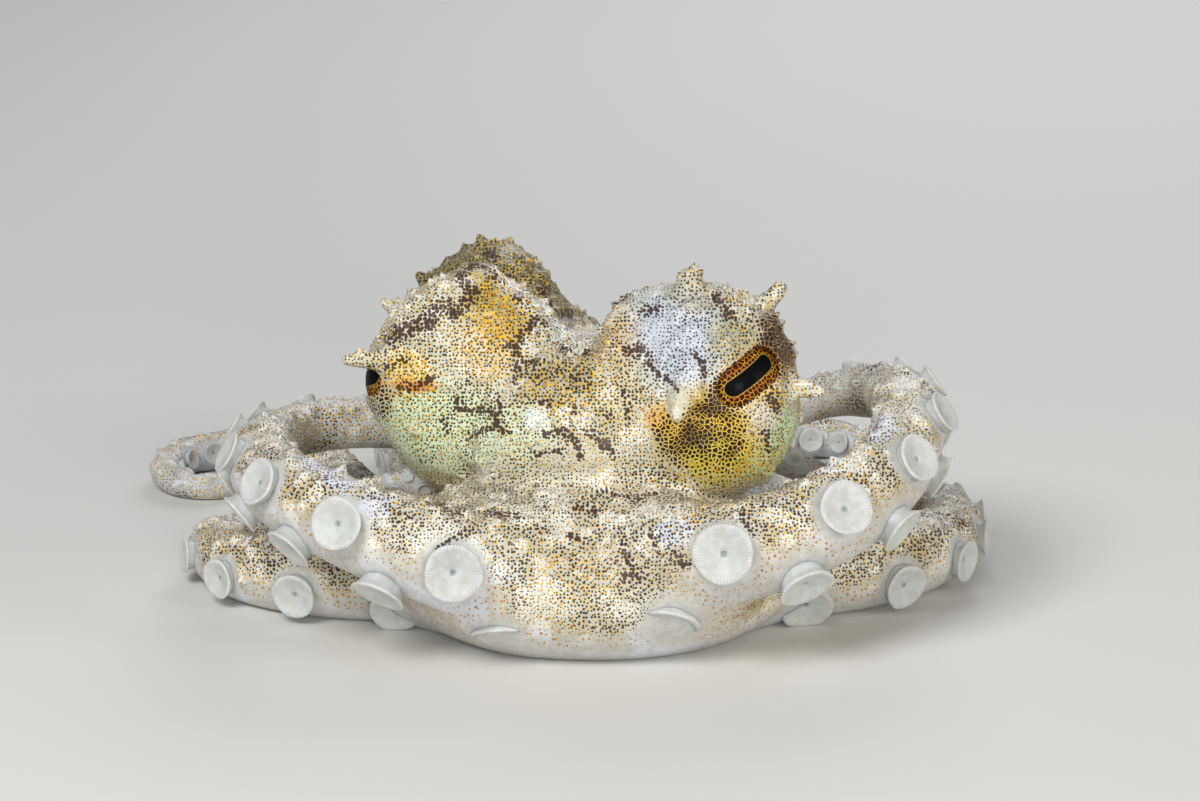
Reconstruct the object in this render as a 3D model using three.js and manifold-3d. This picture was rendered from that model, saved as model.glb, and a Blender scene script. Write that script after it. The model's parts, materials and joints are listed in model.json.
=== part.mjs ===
// A young octopus sitting on a flat floor, as closed solids in millimetres.
// Seen from the front, +X is to the right, +Y is to the back and +Z is up. The floor is z = 0.
// The head looks forward and a little to -X. The two front arms are raised in a crescent before it,
// with their suckers outwards. The other six lie on the floor and run back beside the mantle, which
// is the sack behind the head and is bent towards -X.
import * as THREE from "three";
import { mergeVertices } from "three/addons/utils/BufferGeometryUtils.js";
import Module from "manifold-3d";

const wasm = await Module();
wasm.setup();

// ---- Driving dimensions: lengths in millimetres, angles in degrees ----
const GAP = 0.3; // between solids that meet

const HEAD_CENTRE = [-0.6, 0, 8.3]; // midway between the eye turrets
const HEAD_YAW = -25; // about +Z: the face is turned towards -X
const HEAD_ROLL = -5; // the right eye sits lower than the left
const TURRET_SPREAD = 5.05; // from the head's middle to each turret's middle
const TURRET = { wide: 3.3, deep: 3.3, tall: 3.95 };
const SKULL = { wide: 4.6, deep: 4.3, tall: 3.3, at: [0, 0, -1.5] };
const NECK = { wide: 4.4, deep: 4.2, tall: 3.8, at: [0.3, 3.0, -2.4] };
const SHOULDER = { wide: 2.3, deep: 2.6, tall: 2.7 }; // the slope from each turret to the skull
const SHOULDER_AT = [3.3, -0.1, 1.1];

const EYE_RADIUS = 1.75;
const EYE_PROUD = 0.22; // how far the eyeball stands out of its turret
const EYE_YAW = 57; // from straight ahead to each eye's axis
const EYE_RISE = 13; // each eye's axis looks up
const EYE_LEAN = 8; // more for the left eye and less for the right

const MANTLE = { wide: 4.8, tall: 3.8, start: [-1.4, 3.4, 5.9], end: [-6.0, 19.8, 3.5] };
const MANTLE_HUMP = { at: [-4.9, 10.6], high: 2.4, spread: 3.2, edge: 4 }; // more edge, flatter top
const MANTLE_PAPILLAE = { count: 12, first: 0.14, last: 0.9, swing: 72, radii: [0.55, 0.4, 0.4] };
const PAPILLA_SLENDER = 1.6; // a mantle papilla's length over its radius

const WEB = { centre: [-0.2, -2.6, 2.4], wide: 7.6, deep: 5.8, tall: 3.4 };
const FUNNEL = { from: [2.4, 2.6, 4.6], to: [5.3, 4.9, 4.8], root: 1.5, mouth: 1.0, bore: 0.55, deep: 1.6 };

const ARM_TIP_RADIUS = 0.27;
const ARM_TAPER = 0.8; // exponent: the arms are fleshy for most of their length
const ARM_SINK = 0.05; // how far an arm's underside is flattened, as a part of its radius
const ARM_SIDES = 7;
const ARM_RINGS = 15;
const ROLL_SHARE = 0.3; // where along the arm the middle value of its roll is reached
const LENGTH_NAMES = ["base", "middle", "tip"];
const LENGTH_ENDS = [0.36, 0.66]; // where an arm is parted, as shares of its length

const SUCKER_SHARE = 1.15; // a sucker's diameter over its arm's radius
const SMALLEST_SUCKER = 1.4; // in diameter
const SUCKER_TILT = 33; // from the arm's oral line to each row of suckers
const SUCKER_STEP = 0.92; // along the arm from one sucker to the next, in sucker diameters
const FIRST_SUCKER = 1.2; // along the arm to the first sucker, in arm radii

// ---- Small helpers ----
const UP = new THREE.Vector3(0, 0, 1);
const LATHE_AXIS = new THREE.Vector3(0, 1, 0);
const rad = THREE.MathUtils.degToRad;
const vec = (p) => new THREE.Vector3(...p);

function solid(geometry) {
  const bare = geometry.index ? geometry.toNonIndexed() : geometry.clone();
  bare.deleteAttribute("normal");
  bare.deleteAttribute("uv");
  const merged = mergeVertices(bare, 1e-4);
  return new wasm.Manifold(
    new wasm.Mesh({
      numProp: 3,
      vertProperties: merged.attributes.position.array,
      triVerts: new Uint32Array(merged.index.array),
    }),
  );
}

function geometryOf(manifold) {
  const mesh = manifold.getMesh();
  const points = new Float32Array(mesh.numVert * 3);
  for (let i = 0; i < mesh.numVert; i++) {
    points.set(mesh.vertProperties.subarray(i * mesh.numProp, i * mesh.numProp + 3), i * 3);
  }
  return new THREE.BufferGeometry()
    .setAttribute("position", new THREE.BufferAttribute(points, 3))
    .setIndex(new THREE.BufferAttribute(new Uint32Array(mesh.triVerts), 1));
}

const joined = (solids) => solids.reduce((whole, next) => whole.add(next));
const cut = (whole, tools) => tools.reduce((left, tool) => left.subtract(tool), whole);

// The pieces of a solid that a cut has parted, largest first.
const byVolume = (whole) => whole.decompose().sort((a, b) => b.volume() - a.volume());
const largest = (whole) => byVolume(whole)[0];

function aboveFloor(whole) {
  const side = 120;
  const depth = 20;
  return whole.subtract(solid(new THREE.BoxGeometry(side, side, depth).translate(0, 0, -depth / 2)));
}

// A lathed [radius, height] profile, stood on a place and turned to point along a direction.
function lathed(profile, sides, base, direction) {
  const lathe = new THREE.LatheGeometry(profile.map(([r, h]) => new THREE.Vector2(r, h)), sides);
  const turn = new THREE.Quaternion().setFromUnitVectors(LATHE_AXIS, direction);
  return solid(lathe.applyQuaternion(turn).translate(base.x, base.y, base.z));
}

// An ellipsoid, turned by a matrix if one is given. "grow" makes it larger all round, as a cutter.
function ellipsoid(centre, { wide, deep, tall }, around, rows, grow, turn) {
  const ball = new THREE.SphereGeometry(1, around, rows).rotateX(Math.PI / 2);
  ball.scale(wide + grow, deep + grow, tall + grow);
  if (turn) ball.applyMatrix4(turn);
  return solid(ball.translate(centre.x, centre.y, centre.z));
}

// A direction by its bearing from straight ahead, positive towards +X, and its rise.
function bearing(degrees, rise) {
  return new THREE.Vector3(
    Math.sin(rad(degrees)) * Math.cos(rad(rise)),
    -Math.cos(rad(degrees)) * Math.cos(rad(rise)),
    Math.sin(rad(rise)),
  );
}

// A blunt cone that grows out of a point on the skin.
function papilla(base, direction, radius, length, sides) {
  const sunk = radius * 1.2;
  const neck = radius * 0.55;
  const profile = [[0, -sunk], [radius, -sunk], [neck, length * 0.7], [0, length]];
  return lathed(profile, sides, base, direction);
}

// ---- Head ----
// Everything here is made for one side: +1 is the animal's left, at +X, and -1 its right.
const headTurn = new THREE.Matrix4()
  .makeRotationZ(rad(HEAD_YAW))
  .multiply(new THREE.Matrix4().makeRotationY(rad(HEAD_ROLL)));

// A place given in the head's own frame: x to the animal's left, y backwards, z up.
const onHead = (place) => vec(place).applyMatrix4(headTurn).add(vec(HEAD_CENTRE));

const turretCentre = (side) => onHead([side * TURRET_SPREAD, 0, 0]);

// The point of a turret's surface in a direction from its middle.
function onTurret(side, direction) {
  const local = direction.clone().applyMatrix4(headTurn.clone().invert());
  const reach = 1 / Math.hypot(local.x / TURRET.wide, local.y / TURRET.deep, local.z / TURRET.tall);
  return turretCentre(side).addScaledVector(direction, reach);
}

function shoulderCentre(side) {
  const [x, y, z] = SHOULDER_AT;
  return onHead([side * x, y, z]);
}

function headSolid(grow = 0) {
  const lobes = [1, -1].flatMap((side) => [
    ellipsoid(turretCentre(side), TURRET, 12, 8, grow, headTurn),
    ellipsoid(shoulderCentre(side), SHOULDER, 8, 6, grow, headTurn),
  ]);
  const skull = ellipsoid(onHead(SKULL.at), SKULL, 12, 8, grow, headTurn);
  const neck = ellipsoid(onHead(NECK.at), NECK, 12, 8, grow, headTurn);
  return joined([skull, neck, ...lobes]);
}

function eyeSolid(side, grow = 0) {
  const axis = bearing(HEAD_YAW + side * EYE_YAW, EYE_RISE + side * EYE_LEAN);
  const centre = onTurret(side, axis).addScaledVector(axis, EYE_PROUD - EYE_RADIUS);
  const ball = { wide: EYE_RADIUS, deep: EYE_RADIUS, tall: EYE_RADIUS };
  return ellipsoid(centre, ball, 12, 8, grow);
}

// The horn-like papillae round the eyes: the bearing and rise of the place where each grows on its
// turret, and of the way that it points.
const HORNS = [
  { name: "horn_left_rear_top", side: 1, at: [124, 50], to: [114, 44], radius: 0.5, length: 1.2 },
  { name: "horn_left_rear_low", side: 1, at: [64, 9], to: [74, -2], radius: 0.52, length: 1.1 },
  { name: "horn_left_front", side: 1, at: [-13, 21], to: [-24, -34], radius: 0.62, length: 1.45 },
  { name: "horn_left_crown", side: 1, at: [-70, 79], to: [-40, 84], radius: 0.85, length: 0.7 },
  { name: "horn_right_brow", side: -1, at: [-58, 23], to: [-84, 2], radius: 0.5, length: 1.6 },
  { name: "horn_right_rear_top", side: -1, at: [-122, 40], to: [-116, 30], radius: 0.42, length: 0.8 },
  { name: "horn_right_rear_low", side: -1, at: [-126, 4], to: [-122, 6], radius: 0.5, length: 1.0 },
  { name: "horn_right_crown", side: -1, at: [40, 78], to: [10, 82], radius: 0.6, length: 0.65 },
];

function hornSolid({ side, at, to, radius, length }) {
  return papilla(onTurret(side, bearing(...at)), bearing(...to), radius, length, 6);
}

// ---- Mantle: an egg-shaped sack from the neck to its hind end, with a hump on its back ----
const mantleStart = vec(MANTLE.start);
const mantleEnd = vec(MANTLE.end);
const mantleAxis = mantleEnd.clone().sub(mantleStart).normalize();
const mantleSide = mantleAxis.clone().cross(UP).normalize();
const mantleTop = mantleSide.clone().cross(mantleAxis);

// The egg's half width at a share of its length, as a part of its greatest: the blunt end is the
// hind one.
const eggShare = (share) => Math.sqrt(Math.max(0, Math.sin(Math.PI * share ** 0.88))) ** 1.12;

// Lifts a point of the mantle onto its hump. "upward" is 1 on the back and 0 from the flanks down.
function raiseHump(point, upward) {
  const [x, y] = MANTLE_HUMP.at;
  const off = Math.hypot(point.x - x, point.y - y) / MANTLE_HUMP.spread;
  point.z += MANTLE_HUMP.high * Math.exp(-(off ** MANTLE_HUMP.edge)) * Math.max(0, upward);
}

function mantleSolid(grow = 0) {
  const rings = 11;
  const sides = 16;
  const profile = Array.from({ length: rings + 1 }, (_, i) => {
    const share = (1 - Math.cos((Math.PI * i) / rings)) / 2;
    return new THREE.Vector2(eggShare(share), share);
  });
  const egg = new THREE.LatheGeometry(profile, sides);
  const place = egg.attributes.position;
  const point = new THREE.Vector3();
  const span = mantleStart.distanceTo(mantleEnd) + 2 * grow;
  for (let i = 0; i < place.count; i++) {
    point
      .copy(mantleStart)
      .addScaledVector(mantleAxis, place.getY(i) * span - grow)
      .addScaledVector(mantleSide, place.getX(i) * (MANTLE.wide + grow))
      .addScaledVector(mantleTop, place.getZ(i) * (MANTLE.tall + grow));
    raiseHump(point, place.getZ(i));
    place.setXYZ(i, point.x, point.y, point.z);
  }
  return solid(egg);
}

// The papillae of the mantle's back, which swing from flank to flank by the golden angle.
function mantlePapillae() {
  const { count, first, last, swing, radii } = MANTLE_PAPILLAE;
  const golden = Math.PI * (3 - Math.sqrt(5));
  return Array.from({ length: count }, (_, i) => {
    const share = first + ((last - first) * (i + 0.5)) / count;
    const angle = Math.sin(i * golden) * rad(swing); // from the top
    const out = mantleSide
      .clone()
      .multiplyScalar(Math.sin(angle) * MANTLE.wide)
      .addScaledVector(mantleTop, Math.cos(angle) * MANTLE.tall);
    const base = mantleStart.clone().lerp(mantleEnd, share).addScaledVector(out, eggShare(share));
    raiseHump(base, Math.cos(angle));
    const radius = radii[i % radii.length];
    return papilla(base, out.normalize(), radius, radius * PAPILLA_SLENDER, 4);
  });
}

// ---- Web: the low dome under the head that the arms leave ----
const webSolid = (grow = 0) => ellipsoid(vec(WEB.centre), WEB, 16, 9, grow);

// ---- Funnel: a short open tube behind the left eye ----
function funnelSolid() {
  const from = vec(FUNNEL.from);
  const along = vec(FUNNEL.to).sub(from);
  const length = along.length();
  const profile = [
    [0, 0],
    [FUNNEL.root, 0],
    [FUNNEL.mouth, length],
    [FUNNEL.bore, length],
    [FUNNEL.bore, length - FUNNEL.deep],
    [0, length - FUNNEL.deep],
  ];
  return lathed(profile, 9, from, along.normalize());
}

// ---- Arms ----
// Each route is a few places [x, y, lift], where lift is the height of the arm's underside above the
// floor, and ends in a curl: a spiral of shrinking steps that turns to the left (+1) or right (-1).
// "roll" is how far the suckers look out of the vertical, from the root to the tip, in degrees, and
// "out" the side they look to: +1 is to the right of the way the arm runs.
const ARMS = [
  {
    name: "arm_left_1",
    radius: 2.05,
    route: [
      [0.8, -4.4, 1.2], [3.2, -6.6, 2.0], [6.0, -6.9, 2.8], [8.7, -5.7, 3.8],
      [10.6, -3.3, 4.9], [11.3, -0.4, 5.8], [11.0, 2.6, 6.1], [9.9, 5.2, 5.7],
    ],
    curl: { step: 1.6, shrink: 0.88, angle: 38, turn: 1, steps: 10, sink: 0.3 },
    roll: [56, 90, 96],
    out: 1,
    suckersFrom: 2.9,
  },
  {
    name: "arm_right_1",
    radius: 1.95,
    route: [
      [-1.6, -4.4, 1.0], [-4.2, -6.6, 1.7], [-7.2, -6.6, 2.8], [-10.0, -5.1, 3.7],
      [-11.9, -2.3, 4.1], [-12.4, 1.1, 4.3], [-11.8, 4.3, 4.2],
    ],
    curl: { step: 2.0, shrink: 0.89, angle: 27, turn: -1, steps: 11, sink: 0.05 },
    roll: [42, 84, 94],
    out: -1,
    suckersFrom: 2.8,
  },
  {
    name: "arm_left_2",
    radius: 1.8,
    route: [[3.2, -1.4, 0], [6.8, -1.3, 0], [10.0, -0.1, 0], [12.3, 2.3, 0], [13.3, 5.6, 0], [13.1, 9.0, 0]],
    curl: { step: 1.8, shrink: 0.87, angle: 40, turn: 1, steps: 10, sink: 0 },
    roll: [20, 50, 80],
    out: 1,
  },
  {
    name: "arm_right_2",
    radius: 1.8,
    route: [[-3.4, -1.6, 0], [-7.0, -1.7, 0], [-10.4, -1.2, 0], [-13.2, 0.6, 0], [-14.4, 3.4, 0]],
    curl: { step: 1.7, shrink: 0.88, angle: 44, turn: -1, steps: 10, sink: 0 },
    roll: [20, 50, 80],
    out: -1,
  },
  {
    name: "arm_left_3",
    radius: 1.75,
    route: [[2.4, 0.3, 0], [5.0, 2.8, 0], [6.5, 6.0, 0], [6.6, 9.6, 0], [5.9, 13.1, 0], [5.6, 16.2, 0]],
    curl: { step: 2.0, shrink: 0.88, angle: 32, turn: -1, steps: 11, sink: 0 },
    roll: [20, 50, 80],
    out: 1,
  },
  {
    name: "arm_right_3",
    radius: 1.75,
    route: [
      [-3.2, -0.3, 0], [-6.4, 1.8, 0], [-8.4, 5.0, 0],
      [-9.6, 8.7, 0], [-10.6, 12.4, 0], [-11.6, 15.8, 0],
    ],
    curl: { step: 2.0, shrink: 0.88, angle: 32, turn: 1, steps: 11, sink: 0 },
    roll: [20, 50, 80],
    out: -1,
  },
  {
    name: "arm_left_4",
    radius: 1.65,
    route: [[0.2, 0.8, 0], [1.5, 4.0, 0], [2.2, 7.4, 0], [2.1, 11.0, 0], [1.3, 14.6, 0], [0.0, 17.8, 0]],
    curl: { step: 2.1, shrink: 0.88, angle: 32, turn: -1, steps: 11, sink: 0 },
    roll: [20, 45, 70],
    out: 1,
  },
  {
    name: "arm_right_4",
    radius: 1.65,
    route: [
      [-1.6, 0.8, 0], [-3.0, 3.9, 0], [-4.8, 7.2, 0],
      [-6.3, 10.8, 0], [-7.3, 14.5, 0], [-7.8, 18.2, 0],
    ],
    curl: { step: 2.1, shrink: 0.88, angle: 32, turn: -1, steps: 11, sink: 0 },
    roll: [20, 45, 70],
    out: -1,
  },
];

// The radius of an arm at a share of its length.
function armRadius(arm, share) {
  return ARM_TIP_RADIUS + (arm.radius - ARM_TIP_RADIUS) * (1 - share) ** ARM_TAPER;
}

// The arm's line of [x, y, lift], with its final curl.
function armCurve({ route, curl }) {
  const places = route.map(vec);
  const place = places.at(-1).clone();
  const before = places.at(-2);
  let heading = Math.atan2(place.y - before.y, place.x - before.x);
  let step = curl.step;
  for (let i = 0; i < curl.steps; i++) {
    heading += curl.turn * rad(curl.angle);
    place.x += Math.cos(heading) * step;
    place.y += Math.sin(heading) * step;
    place.z = Math.max(0, place.z - curl.sink);
    places.push(place.clone());
    step *= curl.shrink;
  }
  return new THREE.CatmullRomCurve3(places, false, "catmullrom", 0.5);
}

// How far the suckers look out of the vertical at a share of the arm's length.
function armRoll([root, middle, tip], share) {
  if (share < ROLL_SHARE) return root + ((middle - root) * share) / ROLL_SHARE;
  return middle + ((tip - middle) * (share - ROLL_SHARE)) / (1 - ROLL_SHARE);
}

// The middle of an arm at a share of its length, with its own three directions.
function armFrame(arm, curve, share) {
  const radius = armRadius(arm, share);
  const centre = curve.getPointAt(share);
  centre.z += radius * (1 - ARM_SINK);
  const along = curve.getTangentAt(share);
  const roll = rad(armRoll(arm.roll, share));
  const oral = along
    .clone()
    .cross(UP)
    .normalize()
    .multiplyScalar(arm.out * Math.sin(roll))
    .addScaledVector(UP, -Math.cos(roll));
  oral.addScaledVector(along, -oral.dot(along)).normalize();
  return { centre, along, oral, across: along.clone().cross(oral), radius };
}

// A straight rod, tapered and bent along the arm's route.
function armRod(arm, curve) {
  const profile = [new THREE.Vector2(0, 0)];
  for (let i = 0; i <= ARM_RINGS; i++) profile.push(new THREE.Vector2(1, i / ARM_RINGS));
  profile.push(new THREE.Vector2(0, 1));
  const rod = new THREE.LatheGeometry(profile, ARM_SIDES);
  const place = rod.attributes.position;
  for (let i = 0; i < place.count; i++) {
    const { centre, oral, across, radius } = armFrame(arm, curve, place.getY(i));
    centre.addScaledVector(across, place.getX(i) * radius);
    centre.addScaledVector(oral, place.getZ(i) * radius);
    place.setXYZ(i, centre.x, centre.y, centre.z);
  }
  return solid(rod);
}

// One sucker: a cone that widens from inside the arm to a dished rim.
function suckerSolid(base, out, size) {
  const profile = [[0, -0.5], [0.5, 0.15], [0, 0.07]];
  return lathed(profile.map(([r, h]) => [r * size, h * size]), 6, base, out);
}

// Two rows of suckers, set in turn along the oral side.
function suckers(arm, curve) {
  const length = curve.getLength();
  const cups = [];
  let at = arm.suckersFrom ?? arm.radius * FIRST_SUCKER;
  for (let i = 0; at < length; i++) {
    const { centre, oral, across, radius } = armFrame(arm, curve, at / length);
    const size = radius * SUCKER_SHARE;
    if (size < SMALLEST_SUCKER) break;
    const row = i % 2 === 0 ? arm.out : -arm.out;
    const out = oral
      .clone()
      .multiplyScalar(Math.cos(rad(SUCKER_TILT)))
      .addScaledVector(across, row * Math.sin(rad(SUCKER_TILT)));
    cups.push(suckerSolid(centre.addScaledVector(out, radius), out, size));
    at += size * SUCKER_STEP;
  }
  return cups;
}

// The thin round slices that part an arm into its lengths.
function partings(arm, curve) {
  const spread = 1.9; // over the arm's radius, to pass through the suckers too
  return LENGTH_ENDS.map((share) => {
    const { centre, along, radius } = armFrame(arm, curve, share);
    const reach = radius * spread;
    return lathed([[0, -GAP / 2], [reach, -GAP / 2], [reach, GAP / 2], [0, GAP / 2]], 12, centre, along);
  });
}

// ---- Put together: each solid is cut clear of those before it ----
const SKIN = new THREE.MeshStandardMaterial({ color: "#cfc8b6", roughness: 0.45, metalness: 0 });
const ARM_SKIN = new THREE.MeshStandardMaterial({ color: "#d9d8d2", roughness: 0.4, metalness: 0 });
const EYE = new THREE.MeshStandardMaterial({ color: "#a8731d", roughness: 0.12, metalness: 0 });

const octopus = new THREE.Group();
function add(name, whole, material) {
  const mesh = new THREE.Mesh(geometryOf(whole), material);
  mesh.name = name;
  octopus.add(mesh);
}

add("eye_left", eyeSolid(1), EYE);
add("eye_right", eyeSolid(-1), EYE);
const eyeCutters = [eyeSolid(1, GAP), eyeSolid(-1, GAP)];

add("head", largest(cut(headSolid(), eyeCutters)), SKIN);
const headCutter = headSolid(GAP);
for (const horn of HORNS) {
  add(horn.name, largest(cut(hornSolid(horn), [headCutter, ...eyeCutters])), SKIN);
}

add("web", largest(aboveFloor(webSolid().subtract(headCutter))), SKIN);
const webCutter = webSolid(GAP);

const mantle = joined([mantleSolid(), ...mantlePapillae()]);
add("mantle", largest(cut(mantle, [headCutter, webCutter])), SKIN);

const bodyCutters = [headCutter, webCutter, mantleSolid(GAP)];
add("funnel", largest(cut(funnelSolid(), bodyCutters)), SKIN);

for (const arm of ARMS) {
  const curve = armCurve(arm);
  const whole = aboveFloor(joined([armRod(arm, curve), ...suckers(arm, curve)]));
  const free = largest(cut(whole, bodyCutters));
  const lengths = byVolume(cut(free, partings(arm, curve)));
  LENGTH_NAMES.forEach((length, i) => add(`${arm.name}_${length}`, lengths[i], ARM_SKIN));
}

export default octopus;
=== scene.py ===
# %% [markdown]
# # A young octopus, cell by cell
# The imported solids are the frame: they say where each arm, eye and lobe lies, in metres. This lesson
# grows one living skin over them. It works in millimetres, because the whole animal is only 32 mm
# across, and turns to metres in the last step.

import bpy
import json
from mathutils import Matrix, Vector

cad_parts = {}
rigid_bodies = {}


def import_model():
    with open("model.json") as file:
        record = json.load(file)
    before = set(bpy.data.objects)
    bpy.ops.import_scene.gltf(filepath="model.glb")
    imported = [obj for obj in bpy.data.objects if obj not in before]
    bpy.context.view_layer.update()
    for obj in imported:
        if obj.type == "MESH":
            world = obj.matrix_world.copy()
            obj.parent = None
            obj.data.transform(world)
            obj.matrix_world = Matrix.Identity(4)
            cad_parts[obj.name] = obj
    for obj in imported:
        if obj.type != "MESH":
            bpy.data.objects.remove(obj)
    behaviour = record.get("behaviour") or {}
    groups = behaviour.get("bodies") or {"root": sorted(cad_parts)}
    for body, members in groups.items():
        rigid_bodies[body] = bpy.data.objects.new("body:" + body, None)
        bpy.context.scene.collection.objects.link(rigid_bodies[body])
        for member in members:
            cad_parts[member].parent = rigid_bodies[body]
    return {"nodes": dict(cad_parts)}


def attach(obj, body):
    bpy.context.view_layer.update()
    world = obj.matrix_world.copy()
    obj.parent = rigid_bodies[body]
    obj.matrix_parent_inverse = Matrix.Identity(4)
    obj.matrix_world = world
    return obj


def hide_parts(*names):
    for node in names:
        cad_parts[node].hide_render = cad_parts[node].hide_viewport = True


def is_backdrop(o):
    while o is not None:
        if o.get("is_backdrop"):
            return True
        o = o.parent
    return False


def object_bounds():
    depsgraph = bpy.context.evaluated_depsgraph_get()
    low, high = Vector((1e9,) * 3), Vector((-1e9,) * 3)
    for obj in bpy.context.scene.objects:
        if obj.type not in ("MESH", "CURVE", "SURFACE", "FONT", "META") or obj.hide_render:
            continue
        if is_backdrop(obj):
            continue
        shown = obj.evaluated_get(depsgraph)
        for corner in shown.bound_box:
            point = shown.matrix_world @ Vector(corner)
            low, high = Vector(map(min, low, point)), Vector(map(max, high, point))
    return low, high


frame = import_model()
cad_low, cad_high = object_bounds()
print("CAD nodes:", len(frame["nodes"]))

# %% [markdown]
# ## Camera
# A macro lens stands 200 mm in front of the animal and looks 16 degrees down on it. A long lens this
# far off keeps the near and the far arms almost at one scale, as macro lenses do.

# %% Camera
import math

import bpy
import numpy as np
from mathutils import Matrix, Vector
from mathutils.kdtree import KDTree

MM = 0.001
LOOK_AT = Vector((0.0, 2.06, 7.19))  # mm
CAMERA_AWAY = 200.0
CAMERA_RISE = math.radians(16)
LENS = 162.0

camera_data = bpy.data.cameras.new("macro_camera")
camera_data.lens = LENS
camera_data.sensor_width = 36.0
camera_data.clip_start = 0.005
camera = bpy.data.objects.new("macro_camera", camera_data)
bpy.context.scene.collection.objects.link(camera)
BACK = Vector((0.0, -math.cos(CAMERA_RISE), math.sin(CAMERA_RISE)))
camera.location = (LOOK_AT + BACK * CAMERA_AWAY) * MM
camera.rotation_euler = (-BACK).to_track_quat("-Z", "Y").to_euler()
bpy.context.scene.camera = camera
bpy.context.scene.view_settings.view_transform = "Standard"
print("camera stands at", [round(v, 4) for v in camera.location])

# %% [markdown]
# ## Forms as distance fields
# Flesh has no edges: a lobe melts into the next, an arm into the web. A distance field makes that
# easy. Every form gives, at each point of a fine grid, its distance to that point (negative inside),
# and two forms are joined by a minimum with a soft corner. The surface is where the field is zero.

# %% Grid and soft joins
VOXEL = 0.1  # mm, a quarter of the smallest spike's width
MARGIN = 0.7  # mm of empty grid round the solids
FAR = 3.0  # mm, the distance where no form has come near yet
GRID_LOW = np.array(cad_low) / MM - MARGIN
GRID_COUNT = np.ceil((np.array(cad_high) / MM + MARGIN - GRID_LOW) / VOXEL).astype(int)
GRID_AXES = [(GRID_LOW[a] + VOXEL * np.arange(GRID_COUNT[a])).astype(np.float32) for a in range(3)]


def block(low, high):
    """The part of the grid between two corners: its slices and its points."""
    first = np.maximum(0, ((np.array(low) - GRID_LOW) / VOXEL).astype(int))
    last = np.minimum(GRID_COUNT, ((np.array(high) - GRID_LOW) / VOXEL).astype(int) + 2)
    cells = tuple(slice(a, b) for a, b in zip(first, last))
    lines = [axis[cell] for axis, cell in zip(GRID_AXES, cells)]
    return cells, np.stack(np.meshgrid(*lines, indexing="ij"), -1)


def soft_min(one, other, soft):
    """The smaller of two distances, with a fillet about as wide as soft."""
    near = np.maximum(soft - np.abs(one - other), 0) / soft
    return np.minimum(one, other) - near * near * soft / 4


def soft_max(one, other, soft):
    """The larger of two distances, which carves one form out of another."""
    return -soft_min(-one, -other, soft)


def ball(points, centre, radii, turn=np.eye(3)):
    """Distance to an ellipsoid; the columns of turn are its own axes."""
    local = (points - np.float32(centre)) @ np.float32(turn)
    near = np.linalg.norm(local / np.float32(radii), axis=-1)
    slope = np.linalg.norm(local / np.float32(radii) ** 2, axis=-1)
    return near * (near - 1) / np.maximum(slope, 1e-6)


def tapered(points, start, end, start_radius, end_radius):
    """Distance to a rod that narrows from one round end to the other."""
    line = np.float32(end) - np.float32(start)
    share = np.clip((points - np.float32(start)) @ line / (line @ line), 0, 1)
    off = np.linalg.norm(points - np.float32(start) - share[..., None] * line, axis=-1)
    return off - (start_radius + (end_radius - start_radius) * share)


print("grid:", GRID_COUNT, "of", VOXEL, "mm")

# %% [markdown]
# ## Head
# An octopus carries its eyes in two turrets, one on each side of a low skull, and a shoulder slopes
# from each down to it. The ellipsoids stand where the solids have them, turned together by one
# matrix, and melt into each other.

# %% Head
HEAD_CENTRE = np.array([-0.6, 0.0, 8.3])  # midway between the turrets
HEAD_YAW = -25  # degrees: the face is turned towards -X
HEAD_ROLL = -5  # degrees: the right eye sits lower
TURRET_SPREAD = 5.05  # from the head's middle to each turret's
TURRET = (3.3, 3.3, 3.95)  # half sizes, as for the ellipsoids below
SKULL_AT, SKULL = (0, 0, -1.5), (4.6, 4.3, 3.3)
NECK_AT, NECK = (0.3, 3.0, -2.4), (4.4, 4.2, 3.8)
SHOULDER_AT, SHOULDER = (3.3, -0.1, 1.1), (2.3, 2.6, 2.7)
HEAD_SOFT, NECK_SOFT = 0.7, 1.5

HEAD_TURN = np.array(
    Matrix.Rotation(math.radians(HEAD_YAW), 3, "Z") @ Matrix.Rotation(math.radians(HEAD_ROLL), 3, "Y")
)


def on_head(place):
    """A place in the head's own frame: x to the animal's left, y backwards, z up."""
    return HEAD_CENTRE + HEAD_TURN @ np.array(place, float)


def bearing(degrees, rise):
    """A direction by its bearing from straight ahead, positive towards +X, and its rise."""
    turn, lift = math.radians(degrees), math.radians(rise)
    return np.array([math.sin(turn) * math.cos(lift), -math.cos(turn) * math.cos(lift), math.sin(lift)])


def on_turret(side, direction):
    """The point of a turret's surface in a direction from its middle."""
    reach = 1 / np.linalg.norm((HEAD_TURN.T @ direction) / TURRET)
    return on_head((side * TURRET_SPREAD, 0, 0)) + direction * reach


def head(points):
    """Distance to the head: skull, turrets, shoulders and neck."""
    whole = ball(points, on_head(SKULL_AT), SKULL, HEAD_TURN)
    for side in (1, -1):
        x, y, z = SHOULDER_AT
        turret = ball(points, on_head((side * TURRET_SPREAD, 0, 0)), TURRET, HEAD_TURN)
        shoulder = ball(points, on_head((side * x, y, z)), SHOULDER, HEAD_TURN)
        whole = soft_min(whole, soft_min(turret, shoulder, HEAD_SOFT), HEAD_SOFT)
    return soft_min(whole, ball(points, on_head(NECK_AT), NECK, HEAD_TURN), NECK_SOFT)


print("turrets at", on_head((TURRET_SPREAD, 0, 0)).round(2), on_head((-TURRET_SPREAD, 0, 0)).round(2))

# %% [markdown]
# ## Mantle
# The mantle is the sack behind the head that holds the gills and the gut. Its half width along the
# axis follows a sine with a blunt hind end, and its back is lifted into a hump. Dividing the formula
# by its own slope turns it into a distance, so it can melt with the rest.

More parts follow.
